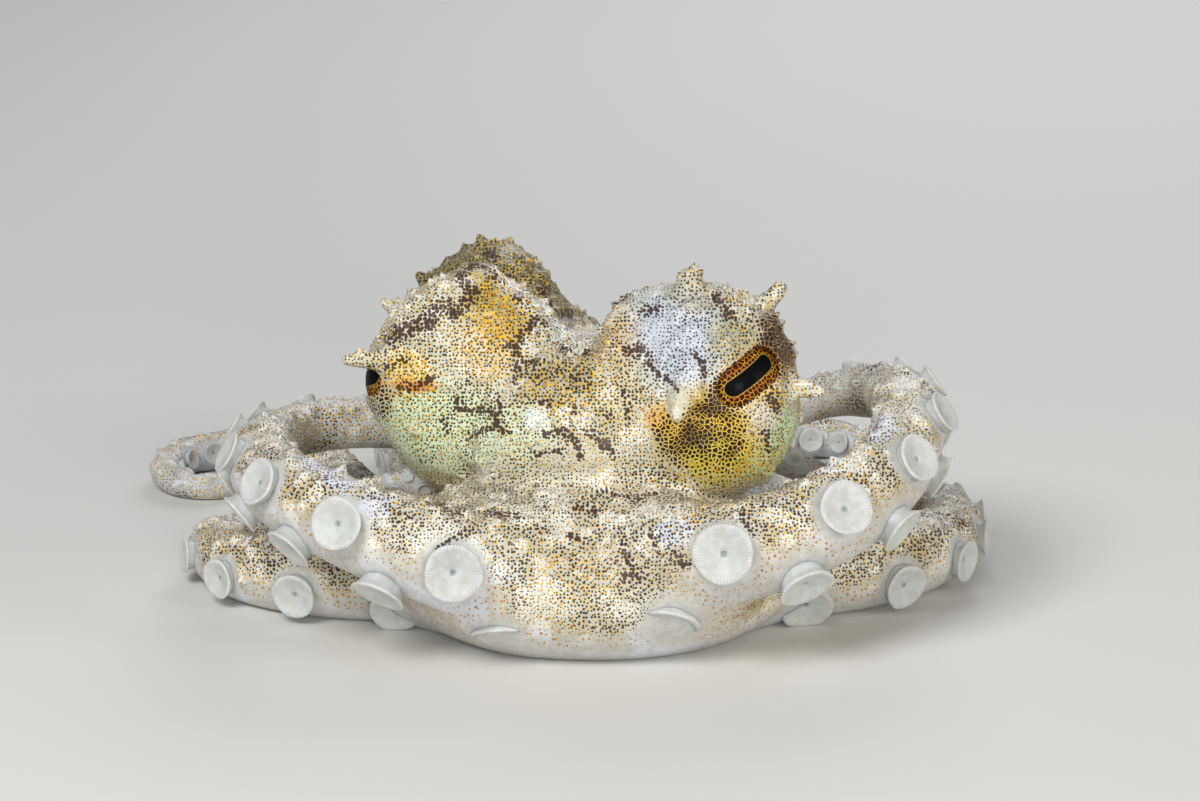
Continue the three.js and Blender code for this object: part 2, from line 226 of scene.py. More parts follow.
# %% Mantle
MANTLE = (4.8, 3.8)  # half width and half height
MANTLE_START = np.array([-1.4, 3.4, 5.9])
MANTLE_END = np.array([-6.0, 19.8, 3.5])
EGG_SKEW, EGG_BLUNT = 0.88, 0.56  # exponents: the widest part lies behind the middle, the ends are round
HUMP_AT, HUMP_HIGH, HUMP_SPREAD, HUMP_EDGE = (-4.9, 10.6), 2.4, 3.2, 4  # more edge, flatter top
COLLAR_AT, COLLAR_WIDE, COLLAR_HIGH = 0.17, 0.03, 0.09  # shares of the length and of the half width
COLLAR_TOP = 0.6  # the collar fades out below this share of the half height
SLOPE_STEP, LEAST_SLOPE = 0.05, 0.08  # mm between two measures, and the flattest slope that is used
MANTLE_SPAN = np.linalg.norm(MANTLE_END - MANTLE_START)
MANTLE_AXIS = (MANTLE_END - MANTLE_START) / MANTLE_SPAN
MANTLE_SIDE = np.cross(MANTLE_AXIS, (0, 0, 1))
MANTLE_SIDE /= np.linalg.norm(MANTLE_SIDE)
MANTLE_TOP = np.cross(MANTLE_SIDE, MANTLE_AXIS)


def egg_share(share):
    """The mantle's half width at a share of its length, as a part of its greatest."""
    return np.maximum(0, np.sin(math.pi * np.clip(share, 0, 1) ** EGG_SKEW)) ** EGG_BLUNT


def hump(x, y):
    """How far the back is lifted at a place on the floor plan."""
    off = np.hypot(x - HUMP_AT[0], y - HUMP_AT[1]) / HUMP_SPREAD
    return HUMP_HIGH * np.exp(-(off**HUMP_EDGE))


def collar(share, top):
    """The thick edge of the mantle's mouth, on the flanks and the belly."""
    low = np.clip(COLLAR_TOP - top, 0, 1)
    return COLLAR_HIGH * low * np.exp(-(((share - COLLAR_AT) / COLLAR_WIDE) ** 2))


def mantle_measure(points):
    """Below zero inside the mantle, above it outside."""
    local = points - np.float32(MANTLE_START)
    share = local @ np.float32(MANTLE_AXIS) / MANTLE_SPAN
    side = local @ np.float32(MANTLE_SIDE) / MANTLE[0]
    top = local @ np.float32(MANTLE_TOP)
    lift = hump(points[..., 0], points[..., 1])
    top = np.where(top > 0, top / (1 + lift / MANTLE[1]), top) / MANTLE[1]
    past = np.maximum(np.abs(share - 0.5) - 0.5, 0) * MANTLE_SPAN / MANTLE[1]
    return side**2 + top**2 - (egg_share(share) + collar(share, top)) ** 2 + past


def mantle(points):
    """Distance to the mantle, from its measure and its slope."""
    here = mantle_measure(points)
    slope = [
        (mantle_measure(points + np.float32(step)) - here) / SLOPE_STEP
        for step in np.eye(3, dtype=np.float32) * SLOPE_STEP
    ]
    return here / np.maximum(np.sqrt(sum(s * s for s in slope)), LEAST_SLOPE)


print("mantle:", round(float(MANTLE_SPAN), 1), "mm long")


# %% [markdown]
# ## Arms
# Each arm is a route on the floor plan with the height of its underside, and ends in a spiral of
# shrinking steps. The route is a Catmull-Rom curve, the same one that the solids follow. It is cut
# into 200 points, and each gets its radius and its own directions, among them the oral one, to which
# the suckers look.

# %% Arms
ARM_TIP_RADIUS = 0.27
ARM_TAPER = 0.8  # exponent: the arms are fleshy for most of their length
ARM_SINK = 0.05  # how far an underside is flattened, as a share of the radius
ROLL_SHARE = 0.3  # where along the arm the middle value of its roll is reached
ARM_POINTS = 200
CURVE_FINE = 60  # steps between two places of a route
FIRST_SUCKER = 1.2  # along the arm, in arm radii, where the table gives none
# name: (radius, route, curl as (step, shrink, angle, turn, steps, sink), roll in degrees from the
# root to the tip, the side that the suckers look to, how far along the first sucker stands)
ARMS = {
    "arm_left_1": (
        2.05,
        [
            (0.8, -4.4, 1.2), (3.2, -6.6, 2.0), (6.0, -6.9, 2.8), (8.7, -5.7, 3.8),
            (10.6, -3.3, 4.9), (11.3, -0.4, 5.8), (11.0, 2.6, 6.1), (9.9, 5.2, 5.7),
        ],
        (1.6, 0.88, 38, 1, 10, 0.3), (56, 90, 96), 1, 2.9,
    ),
    "arm_right_1": (
        1.95,
        [
            (-1.6, -4.4, 1.0), (-4.2, -6.6, 1.7), (-7.2, -6.6, 2.8), (-10.0, -5.1, 3.7),
            (-11.9, -2.3, 4.1), (-12.4, 1.1, 4.3), (-11.8, 4.3, 4.2),
        ],
        (2.0, 0.89, 27, -1, 11, 0.05), (42, 84, 94), -1, 2.8,
    ),
    "arm_left_2": (
        1.8,
        [
            (3.2, -1.4, 0), (6.8, -1.3, 0), (10.0, -0.1, 0),
            (12.3, 2.3, 0), (13.3, 5.6, 0), (13.1, 9.0, 0),
        ],
        (1.8, 0.87, 40, 1, 10, 0), (20, 50, 80), 1, None,
    ),
    "arm_right_2": (
        1.8,
        [(-3.4, -1.6, 0), (-7.0, -1.7, 0), (-10.4, -1.2, 0), (-13.2, 0.6, 0), (-14.4, 3.4, 0)],
        (1.7, 0.88, 44, -1, 10, 0), (20, 50, 80), -1, None,
    ),
    "arm_left_3": (
        1.75,
        [(2.4, 0.3, 0), (5.0, 2.8, 0), (6.5, 6.0, 0), (6.6, 9.6, 0), (5.9, 13.1, 0), (5.6, 16.2, 0)],
        (2.0, 0.88, 32, -1, 11, 0), (20, 50, 80), 1, None,
    ),
    "arm_right_3": (
        1.75,
        [
            (-3.2, -0.3, 0), (-6.4, 1.8, 0), (-8.4, 5.0, 0),
            (-9.6, 8.7, 0), (-10.6, 12.4, 0), (-11.6, 15.8, 0),
        ],
        (2.0, 0.88, 32, 1, 11, 0), (20, 50, 80), -1, None,
    ),
    "arm_left_4": (
        1.65,
        [(0.2, 0.8, 0), (1.5, 4.0, 0), (2.2, 7.4, 0), (2.1, 11.0, 0), (1.3, 14.6, 0), (0.0, 17.8, 0)],
        (2.1, 0.88, 32, -1, 11, 0), (20, 45, 70), 1, None,
    ),
    "arm_right_4": (
        1.65,
        [
            (-1.6, 0.8, 0), (-3.0, 3.9, 0), (-4.8, 7.2, 0),
            (-6.3, 10.8, 0), (-7.3, 14.5, 0), (-7.8, 18.2, 0),
        ],
        (2.1, 0.88, 32, -1, 11, 0), (20, 45, 70), -1, None,
    ),
}


def arm_places(route, curl):
    """The route's places with those of its final curl."""
    places = [np.array(place, float) for place in route]
    step, shrink, angle, turn, steps, sink = curl
    place = places[-1].copy()
    heading = math.atan2(*(places[-1] - places[-2])[1::-1])
    for _ in range(steps):
        heading += turn * math.radians(angle)
        place = place + (math.cos(heading) * step, math.sin(heading) * step, 0)
        place[2] = max(0, place[2] - sink)
        places.append(place)
        step *= shrink
    return np.array(places)


def smooth_curve(places, count):
    """Points and directions at even distances along a Catmull-Rom curve."""
    ends = [2 * places[0] - places[1], *places, 2 * places[-1] - places[-2]]
    t = np.linspace(0, 1, CURVE_FINE, endpoint=False)[:, None]
    pieces = []
    for a, b, c, d in zip(ends, ends[1:], ends[2:], ends[3:]):
        away, back = (c - a) / 2, (d - b) / 2
        bend = 3 * (c - b) - 2 * away - back
        twist = 2 * (b - c) + away + back
        pieces.append(b + away * t + bend * t**2 + twist * t**3)
    line = np.vstack([*pieces, places[-1:]])
    run = np.concatenate([[0], np.cumsum(np.linalg.norm(np.diff(line, axis=0), axis=1))])
    even = np.linspace(0, run[-1], count)
    points = np.stack([np.interp(even, run, line[:, a]) for a in range(3)], 1)
    along = np.gradient(points, axis=0)
    return points, along / np.linalg.norm(along, axis=1, keepdims=True), run[-1]


def make_arm(radius, route, curl, roll, out, first):
    """Everything about an arm at each of its points, as a dictionary of arrays."""
    centre, along, length = smooth_curve(arm_places(route, curl), ARM_POINTS)
    share = np.linspace(0, 1, ARM_POINTS)
    radii = ARM_TIP_RADIUS + (radius - ARM_TIP_RADIUS) * (1 - share) ** ARM_TAPER
    centre[:, 2] += radii * (1 - ARM_SINK)
    look = np.radians(np.interp(share, [0, ROLL_SHARE, 1], roll))[:, None]
    level = np.cross(along, (0, 0, 1))
    level /= np.linalg.norm(level, axis=1, keepdims=True)
    oral = level * out * np.sin(look) - np.array([0, 0, 1]) * np.cos(look)
    oral -= along * np.sum(oral * along, axis=1, keepdims=True)
    oral /= np.linalg.norm(oral, axis=1, keepdims=True)
    return {
        "share": share, "centre": centre, "oral": oral, "across": np.cross(along, oral),
        "radius": radii, "length": length, "out": out,
        "first": first if first else radius * FIRST_SUCKER,
    }


arms = {name: make_arm(*facts) for name, facts in ARMS.items()}
print("arm lengths:", {name: round(arm["length"], 1) for name, arm in arms.items()})

# %% [markdown]
# ## Web, funnel and horns
# A low dome of web carries the head, and the arms leave it. The funnel is a short open tube that the
# animal breathes and jets through. Horn-like papillae stand round the eyes: muscle under the skin
# pushes them up, so they grow out of it with a wide foot.

# %% Web, funnel and horns
WEB_AT, WEB = (-0.2, -2.6, 2.4), (7.6, 5.8, 3.4)  # middle and half sizes
FUNNEL_FROM, FUNNEL_TO = np.array([2.4, 2.6, 4.6]), np.array([5.3, 4.9, 4.8])
FUNNEL_ROOT, FUNNEL_MOUTH = 1.35, 0.9  # radii outside
FUNNEL_BORE, FUNNEL_DEEP = 0.55, 1.6  # radius and depth of the opening
# name: (side, where on its turret, which way it points, radius, length), directions as bearing and rise
HORNS = {
    "left_rear_top": (1, (124, 50), (114, 44), 0.5, 1.2),
    "left_rear_low": (1, (64, 9), (74, -2), 0.52, 1.1),
    "left_front": (1, (-13, 21), (-24, -38), 0.7, 1.7),
    "left_crown": (1, (-70, 79), (-40, 84), 0.95, 0.66),
    "right_brow": (-1, (-58, 23), (-84, 2), 0.5, 1.6),
    "right_rear_top": (-1, (-122, 40), (-116, 30), 0.42, 0.8),
    "right_rear_low": (-1, (-126, 4), (-122, 6), 0.5, 1.0),
    "right_crown": (-1, (40, 78), (10, 82), 0.8, 0.46),
}
HORN_SUNK, HORN_FOOT = 0.6, 0.3  # shares of the radius: under the skin, and taken off the length
HORN_TIP = 0.42  # the radius at the tip, as a share of that at the root
MANTLE_PAPILLAE = 12
PAPILLAE_FIRST, PAPILLAE_LAST, PAPILLAE_SWING = 0.14, 0.9, math.radians(72)
PAPILLAE_RADII = (0.55, 0.4, 0.4)
PAPILLA_LONG = 0.95  # in radii
GOLDEN = math.pi * (3 - math.sqrt(5))  # the golden angle, which never repeats a row


def horn_line(side, at, to, radius, length):
    """Root, tip and radius of a horn."""
    root = on_turret(side, bearing(*at))
    way = bearing(*to)
    return root - way * radius * HORN_SUNK, root + way * (length - radius * HORN_FOOT), radius


def mantle_papilla(number):
    """Root, tip and radius of one of the papillae that swing over the mantle's back."""
    share = PAPILLAE_FIRST + (PAPILLAE_LAST - PAPILLAE_FIRST) * (number + 0.5) / MANTLE_PAPILLAE
    angle = math.sin(number * GOLDEN) * PAPILLAE_SWING
    out = MANTLE_SIDE * math.sin(angle) * MANTLE[0] + MANTLE_TOP * math.cos(angle) * MANTLE[1]
    root = MANTLE_START + (MANTLE_END - MANTLE_START) * share + out * float(egg_share(share))
    root[2] += hump(root[0], root[1]) * max(0, math.cos(angle))
    out /= np.linalg.norm(out)
    radius = PAPILLAE_RADII[number % len(PAPILLAE_RADII)]
    return root - out * radius * HORN_SUNK, root + out * radius * PAPILLA_LONG, radius


horn_lines = {name: horn_line(*facts) for name, facts in HORNS.items()}
papilla_lines = [mantle_papilla(number) for number in range(MANTLE_PAPILLAE)]
print("longest horn:", max(facts[4] for facts in HORNS.values()), "mm")

# %% [markdown]
# ## Eyes and lids
# Each eyeball is 3.5 mm across and sits deep, with only 0.2 mm standing proud of its turret. Skin
# closes over it but for a slot with round ends, and ends there in a thin lid. The lid is made by
# raising the skin a little over the ball and then dishing it inside the slot, so that the ball itself
# shows. An eye also turns in its socket: the slot follows the pupil, the ball stays in place.

# %% Eyes and lids
EYE_RADIUS = 1.75
EYE_PROUD = 0.22  # how far the ball stands out of its turret
EYE_YAW = 57  # degrees from straight ahead to each socket
EYE_RISE, EYE_LEAN = 13, 8  # degrees: both look up, the left one more and the right one less
EYE_LOOKS = {1: (-11, 6), -1: (0, 0)}  # how far each eye is turned in its socket: bearing and rise
LID_THICK, LID_SOFT = 0.07, 0.5
LID_FOLD, LID_FOLD_AT = 0.05, 0.2  # the raised edge of the lid, and how far from the slot it runs
OPEN_HALF, OPEN_ROUND = 0.7, 0.65  # half the slot's straight length, and the radius of its ends
OPEN_DEEP, OPEN_SOFT = 0.25, 0.16
# which way each slit runs, before it is laid square to its eye's axis
SLIT_WAYS = {1: np.array([0.65, 0.6, 0.39]), -1: np.array([-0.05, -0.93, 0.36])}


def eye_frame(side):
    """Middle of an eyeball and its own axes as columns: along the slit, across it, and outwards."""
    yaw, rise = HEAD_YAW + side * EYE_YAW, EYE_RISE + side * EYE_LEAN
    socket = bearing(yaw, rise)
    middle = on_turret(side, socket) + socket * (EYE_PROUD - EYE_RADIUS)
    aside, up = EYE_LOOKS[side]
    axis = bearing(yaw + aside, rise + up)
    slit = SLIT_WAYS[side] - axis * (SLIT_WAYS[side] @ axis)
    slit /= np.linalg.norm(slit)
    return middle, np.column_stack([slit, np.cross(axis, slit), axis])


eyes = {side: eye_frame(side) for side in (1, -1)}


def slot_distance(local, half, end_radius):
    """Distance to a slot that runs along an eye's slit, in the eye's own axes."""
    past = np.maximum(np.abs(local[..., 0]) - half, 0)
    return np.hypot(past, local[..., 1]) - end_radius


def with_lids(field, points, side):
    """The head's field with the skin of one eye laid over its ball and opened."""
    middle, axes = eyes[side]
    local = (points - np.float32(middle)) @ np.float32(axes)
    away = np.linalg.norm(local, axis=-1)
    opening = slot_distance(local, OPEN_HALF, OPEN_ROUND)
    rim = LID_THICK + LID_FOLD * np.exp(-(((opening - LID_FOLD_AT) / LID_FOLD_AT) ** 2))
    field = soft_min(field, away - EYE_RADIUS - rim, LID_SOFT)
    dish = np.maximum(EYE_RADIUS - OPEN_DEEP - away, opening)
    return np.where(local[..., 2] > 0, soft_max(field, -dish, OPEN_SOFT), field)


print("eyes at", eyes[1][0].round(2), eyes[-1][0].round(2))

# %% [markdown]
# ## Grow the flesh
# All forms go into one field. The body melts together first, with a blunt crest on the right turret
# that is drawn up in this pose. Each form is joined only in the part of the grid that it reaches,
# which the two corners before it give.

# %% Grow the flesh
# how softly each form joins the flesh, in mm
HEAD_JOIN, CREST_SOFT, MANTLE_SOFT, WEB_SOFT = 0.1, 1.2, 1.6, 0.45
FUNNEL_SOFT, BORE_SOFT, HORN_SOFT = 0.6, 0.15, 0.45
CREST_FROM, CREST_TO = np.array([-5.0, 2.0, 9.8]), np.array([-4.5, 2.2, 11.75])
CREST_FOOT, CREST_PEAK = 2.2, 0.5  # radii
HORN_ROOM, BORE_ROOM, EYE_ROOM = 1.5, 1.2, 3  # mm of grid round a horn, the bore and an eye's middle

flesh = np.full(GRID_COUNT, FAR, np.float32)


def melt(low, high, distance, soft):
    """Joins one form to the flesh in a part of the grid."""
    cells, points = block(low, high)
    flesh[cells] = soft_min(flesh[cells], distance(points).astype(np.float32), soft)


def crest(points):
    """Distance to the blunt crest on the right turret."""
    return tapered(points, CREST_FROM, CREST_TO, CREST_FOOT, CREST_PEAK)


def web(points):
    """Distance to the dome of web under the head."""
    return ball(points, WEB_AT, WEB)


def funnel(points):
    """Distance to the funnel, before it is bored."""
    return tapered(points, FUNNEL_FROM, FUNNEL_TO, FUNNEL_ROOT, FUNNEL_MOUTH)


melt((-10.5, -6.5, 0), (8.5, 9.5, 14), head, HEAD_JOIN)
melt((-8, -1, 7), (-2, 5, 14), crest, CREST_SOFT)
melt((-13, 1.5, 0), (3.5, 22, 14), mantle, MANTLE_SOFT)
melt((-9.8, -10, -0.5), (9.5, 5.2, 7.6), web, WEB_SOFT)
melt((0, 0, 2), (8, 8, 8), funnel, FUNNEL_SOFT)
for root, tip, radius in [*horn_lines.values(), *papilla_lines]:
    low, high = np.minimum(root, tip) - HORN_ROOM, np.maximum(root, tip) + HORN_ROOM
    melt(low, high, lambda points: tapered(points, root, tip, radius, radius * HORN_TIP), HORN_SOFT)
for side in (1, -1):
    middle = eyes[side][0]
    cells, points = block(middle - EYE_ROOM, middle + EYE_ROOM)
    flesh[cells] = with_lids(flesh[cells], points, side)
bore = FUNNEL_TO + (FUNNEL_FROM - FUNNEL_TO) / np.linalg.norm(FUNNEL_TO - FUNNEL_FROM) * FUNNEL_DEEP
past = FUNNEL_TO + (FUNNEL_TO - bore)
cells, points = block(np.minimum(bore, past) - BORE_ROOM, np.maximum(bore, past) + BORE_ROOM)
flesh[cells] = soft_max(flesh[cells], -tapered(points, bore, past, FUNNEL_BORE, FUNNEL_BORE), BORE_SOFT)
print("inside the body:", round(float((flesh < 0).sum() * VOXEL**3)), "mm3")

# %% [markdown]
# ## Grow the arms
# An arm melts into the body over 1.8 mm at its root, where the web stretches between arms, and over
# hardly anything near its tip, so that tips which lie close stay apart. Its field is a chain of
# tapered rods, worked out only near each rod, because the whole grid has millions of points.

# %% Grow the arms
ARM_SOFT_ROOT, ARM_SOFT_FREE = 1.8, 0.12
ROOT_NEAR, ROOT_FAR = 3.0, 8.0  # mm from the arm's root, over which the softness falls
SKIN_REACH = 1.9  # mm beyond an arm's skin where its field is worked out
LINK_STEP = 2  # points of the arm from one rod to the next


def grow_arm(arm):
    """One arm's field, a chain of tapered rods, melted into the flesh."""
    centre, radii = arm["centre"], arm["radius"]
    low, high = centre.min(0) - SKIN_REACH - radii[0], centre.max(0) + SKIN_REACH + radii[0]
    cells, points = block(low, high)
    rod = np.full(points.shape[:3], FAR, np.float32)
    origin = np.array([points[0, 0, 0, a] for a in range(3)])
    for i in range(0, ARM_POINTS - 1, LINK_STEP):
        j = min(i + LINK_STEP, ARM_POINTS - 1)
        reach = radii[i] + SKIN_REACH
        first = np.maximum(0, ((np.minimum(centre[i], centre[j]) - reach - origin) / VOXEL).astype(int))
        last = ((np.maximum(centre[i], centre[j]) + reach - origin) / VOXEL).astype(int) + 1
        near = tuple(slice(a, b) for a, b in zip(first, last))
        link = tapered(points[near], centre[i], centre[j], radii[i], radii[j])
        rod[near] = np.minimum(rod[near], link)
    away = np.linalg.norm(points - np.float32(centre[0]), axis=-1)
    free = np.clip((away - ROOT_NEAR) / (ROOT_FAR - ROOT_NEAR), 0, 1)
    soft = ARM_SOFT_ROOT + (ARM_SOFT_FREE - ARM_SOFT_ROOT) * free * free * (3 - 2 * free)
    flesh[cells] = soft_min(flesh[cells], rod, soft)


for arm in arms.values():
    grow_arm(arm)
print("with arms:", round(float((flesh < 0).sum() * VOXEL**3)), "mm3")

# %% [markdown]
# ## Sucker pads
# Suckers stand in two rows that take turns along the oral side, each a bit smaller than the last.
# Each has a pad of flesh under it, which is grown here, and a cup, which is turned later like a bowl
# on a lathe. The pad is kept low, so that it fills the cup's foot and never shows through its floor.
# Last, everything below the floor is cut off: the animal rests on narrow flats.

# %% Sucker pads
SUCKER_SHARE = 1.15  # a sucker's width over its arm's radius
SUCKER_TILT = math.radians(33)  # from the arm's oral line to each row
SUCKER_STEP = 0.92  # along the arm to the next sucker, in sucker widths
SMALLEST_SUCKER = 0.34  # mm
MOST_SUCKERS = 200  # on one arm
# the pad's two ends below the base and their radii, in shares of the sucker's width
PAD_FOOT, PAD_TOP, PAD_FOOT_WIDE, PAD_TOP_WIDE, PAD_SOFT = 0.6, 0.55, 0.6, 0.48, 0.25
PAD_ROOM = 0.9  # of grid round a pad, in the same shares
RIM_OUT = 0.2  # how far out a cup's rim stands, in shares of its width
PAD_CLEAR = 0.1  # mm above the floor that a rim needs, or the sucker gets no pad


def sucker_places(arm):
    """(middle of the base, direction, width) of every sucker on an arm."""
    found = []
    run = arm["share"] * arm["length"]
    at = arm["first"]
    for number in range(MOST_SUCKERS):
        if at > arm["length"]:
            break
        here = {
            key: np.array([np.interp(at, run, arm[key][:, axis]) for axis in range(3)])
            for key in ("centre", "oral", "across")
        }
        radius = np.interp(at, run, arm["radius"])
        size = radius * SUCKER_SHARE
        if size < SMALLEST_SUCKER:
            break
        row = arm["out"] if number % 2 == 0 else -arm["out"]
        way = here["oral"] * math.cos(SUCKER_TILT) + here["across"] * row * math.sin(SUCKER_TILT)
        way /= np.linalg.norm(way)
        found.append((here["centre"] + way * radius, way, size))
        at += size * SUCKER_STEP
    return found


suckers = [sucker for arm in arms.values() for sucker in sucker_places(arm)]
for base, way, size in suckers:
    if base[2] + way[2] * size * RIM_OUT > PAD_CLEAR:
        low, high = base - size * PAD_ROOM, base + size * PAD_ROOM
        foot, top = base - way * size * PAD_FOOT, base - way * size * PAD_TOP
        wide, narrow = size * PAD_FOOT_WIDE, size * PAD_TOP_WIDE
        melt(low, high, lambda points: tapered(points, foot, top, wide, narrow), size * PAD_SOFT)
flesh = np.maximum(flesh, -GRID_AXES[2][None, None, :])
print("suckers:", len(suckers), "widest", round(max(size for *_, size in suckers), 2), "mm")

# %% [markdown]
# ## From field to mesh
# Surface nets turn the field into quads. Every grid cell that the surface passes through gets one
# point, at the mean of the places where it crosses the cell's edges, and every grid edge that it
# crosses gets one quad between the four cells around it. That follows soft forms more evenly than
# marching cubes, and leaves no slivers.

# %% From field to mesh
def surface_nets(field):
    """Points (in grid steps) and quads of the surface where the field is zero."""
    inside = field < 0
    shape = np.array(field.shape) - 1
    corners = [(i, j, k) for i in (0, 1) for j in (0, 1) for k in (0, 1)]
    count = sum(
        inside[i:i + shape[0], j:j + shape[1], k:k + shape[2]].astype(np.uint8)
        for i, j, k in corners
    )
    cells = np.argwhere((count > 0) & (count < 8))
    number = np.full(shape, -1, np.int32)
    number[tuple(cells.T)] = np.arange(len(cells))
    total = np.zeros((len(cells), 3))
    crossings = np.zeros(len(cells))
    for start in corners:
        for axis in range(3):
            if start[axis]:
                continue
            end = np.array(start)
            end[axis] = 1
            a = field[tuple((cells + start).T)]
            b = field[tuple((cells + end).T)]
            cut = (a < 0) != (b < 0)
            share = a[cut] / (a[cut] - b[cut])
            total[cut] += start
            total[cut, axis] += share
            crossings[cut] += 1
    quads = []
    for axis in range(3):
        b, c = (axis + 1) % 3, (axis + 2) % 3
        lower = [slice(1, -1)] * 3
        upper = [slice(1, -1)] * 3
        lower[axis], upper[axis] = slice(0, -1), slice(1, None)
        first, second = inside[tuple(lower)], inside[tuple(upper)]
        edges = np.argwhere(first != second)
        outward = first[tuple(edges.T)]
        edges[:, [b, c]] += 1
        ring = []
        for back_b, back_c in ((1, 1), (0, 1), (0, 0), (1, 0)):
            cell = edges.copy()
            cell[:, b] -= back_b
            cell[:, c] -= back_c
            ring.append(number[tuple(cell.T)])
        ring = np.stack(ring, 1)
        ring[~outward] = ring[~outward][:, ::-1]
        quads.append(ring)
    return cells + total / crossings[:, None], np.vstack(quads)


grid_points, quads = surface_nets(flesh)
skin_points = GRID_LOW + grid_points * VOXEL
print("skin:", len(skin_points), "points,", len(quads), "quads")

# %% [markdown]
# ## Measures on the skin
# Three small tools ask the skin about itself: a smooth step, the normals of its points, and the
# nearest of a set of places. The last one sorts the places into a tree, which finds the nearest in a
# few steps instead of trying each.

# %% Measures on the skin
def share_between(value, low, high):
    """0 below low, 1 above high, and smooth between."""
    t = np.clip((value - low) / (high - low), 0, 1)
    return t * t * (3 - 2 * t)


def normals_of(points, faces):
    """The normal of each point, from the quads round it, large ones counting more."""
    a = points[faces[:, 2]] - points[faces[:, 0]]
    b = points[faces[:, 3]] - points[faces[:, 1]]
    face_normals = np.cross(a, b)
    total = np.stack([
        sum(np.bincount(faces[:, corner], face_normals[:, axis], len(points)) for corner in range(4))
        for axis in range(3)
    ], 1)
    return total / np.maximum(np.linalg.norm(total, axis=1, keepdims=True), 1e-12)


def nearest(tree_points, points):
    """For each point the number of the nearest tree point, and its distance."""
    tree = KDTree(len(tree_points))
    for number, place in enumerate(tree_points):
        tree.insert(place, number)
    tree.balance()
    found = [tree.find(place)[1:] for place in points]
    return np.array([f[0] for f in found]), np.array([f[1] for f in found])


form_normals = normals_of(skin_points, quads)
looks_up = form_normals[:, 2]
print("looking up:", int((looks_up > 0).sum()), "points")

# %% [markdown]
# ## What grows where
# Warts, dots and colours all depend on the place: skin of the head is dotted all over, while an arm
# fades from a speckled back to bare, milky flesh round its suckers. So each point of the skin learns
# which form it belongs to, how far along an arm it is, and how much it looks to the sucker side.

# %% What grows where
FORM_BLEND = 0.35  # mm over which one form's skin turns into the next one's
ARM_OVER_WEB = (-1.2, 1.2)  # mm nearer to an arm than to the web, from none of it to all
WEB_BARE_FROM, WEB_BARE_OVER = 0.9, 3.2  # the web is bare below, and speckled this many mm up
BARE_BETWEEN = (0.5, 1.0)  # how far a point looks to the sucker side, from speckled to bare
CUP_BARE = (0.45, 0.75)  # widths of a sucker from its middle, from bare to as it was

arm_all = {
    key: np.concatenate([arm[key] for arm in arms.values()])
    for key in ("share", "centre", "oral", "radius")
}
arm_near, arm_away = nearest(arm_all["centre"], skin_points)
arm_share = arm_all["share"][arm_near]
from_arm = (skin_points - arm_all["centre"][arm_near]) / np.maximum(arm_away, 1e-9)[:, None]
oral_look = np.sum(from_arm * arm_all["oral"][arm_near], axis=1)

apart = np.stack([
    head(skin_points),
    mantle(skin_points),
    web(skin_points),
    arm_away - arm_all["radius"][arm_near],
], 1)
belongs = np.exp(-np.clip(apart, -1, 8) / FORM_BLEND)
belongs /= belongs.sum(1, keepdims=True)
on_head_skin, on_mantle, on_web, on_arm = belongs.T

arm_over_web = share_between(apart[:, 2] - apart[:, 3], *ARM_OVER_WEB)
low_web = WEB_BARE_FROM - skin_points[:, 2] / WEB_BARE_OVER
under = arm_over_web * 0.8 * oral_look + (1 - arm_over_web) * low_web - 0.5 * looks_up
arm_like = np.clip(on_arm + on_web, 0, 1)
bare = arm_like * share_between(under, *BARE_BETWEEN)
sucker_base = np.array([base for base, way, size in suckers])
sucker_size = np.array([size for base, way, size in suckers])
cup_near, cup_away = nearest(sucker_base, skin_points)
cup_share = cup_away / sucker_size[cup_near]
round_cup = arm_like * (1 - share_between(cup_share, *CUP_BARE))
bare = np.maximum(bare, round_cup)
print("skin by form:", dict(zip(("head", "mantle", "web", "arms"), belongs.mean(0).round(2))))

# %% [markdown]
# ## Chance on the skin
# Two kinds of chance shape the skin. Value noise gives soft swells: a lattice of random numbers, with
# a smooth blend between them. Seeds picked at random, more often where the chance is greater, give
# single warts. The generator starts from a fixed seed, so each run gives the same animal.

# %% Chance on the skin
rng = np.random.default_rng(7)
LATTICE = 32
lattice = rng.uniform(-1, 1, (LATTICE,) * 3)


def noise(points, size, shift=0.0):
    """Smooth noise between -1 and 1 whose bumps are about size mm apart."""
    place = points / size + shift
    low = np.floor(place).astype(int)
    part = place - low
    part = part * part * (3 - 2 * part)
    total = 0
    for corner in [(i, j, k) for i in (0, 1) for j in (0, 1) for k in (0, 1)]:
        weight = np.prod(np.where(corner, part, 1 - part), axis=-1)
        total = total + weight * lattice[tuple(((low + corner) % LATTICE).T)]
    return total


def cones(points, chance, count, sizes, heights, sharp=0):
    """Heights of cones, or of round bumps, on seeds picked more often where chance is greater."""
    seeds = rng.choice(len(points), count, replace=False, p=chance / chance.sum())
    size = rng.uniform(*sizes, count)
    height = rng.uniform(*heights, count)
    number, away = nearest(points[seeds], points)
    rise = np.clip(1 - away / size[number], 0, 1)
    return height[number] * (rise**sharp if sharp else share_between(rise, 0, 1))


print("lattice:", lattice.size, "random numbers")

# %% [markdown]
# ## Warts and papillae
# The skin of a young octopus is never smooth. Grains 0.3 to 0.5 mm apart cover its back. Pointed warts
# and small spikes stand among them, most of them on the crowns, where they break the outline, and
# round lumps stand on the crest of the arms. Fine folds run round the neck. All are raised along the
# normals, and none near an eye, a sucker or the floor.

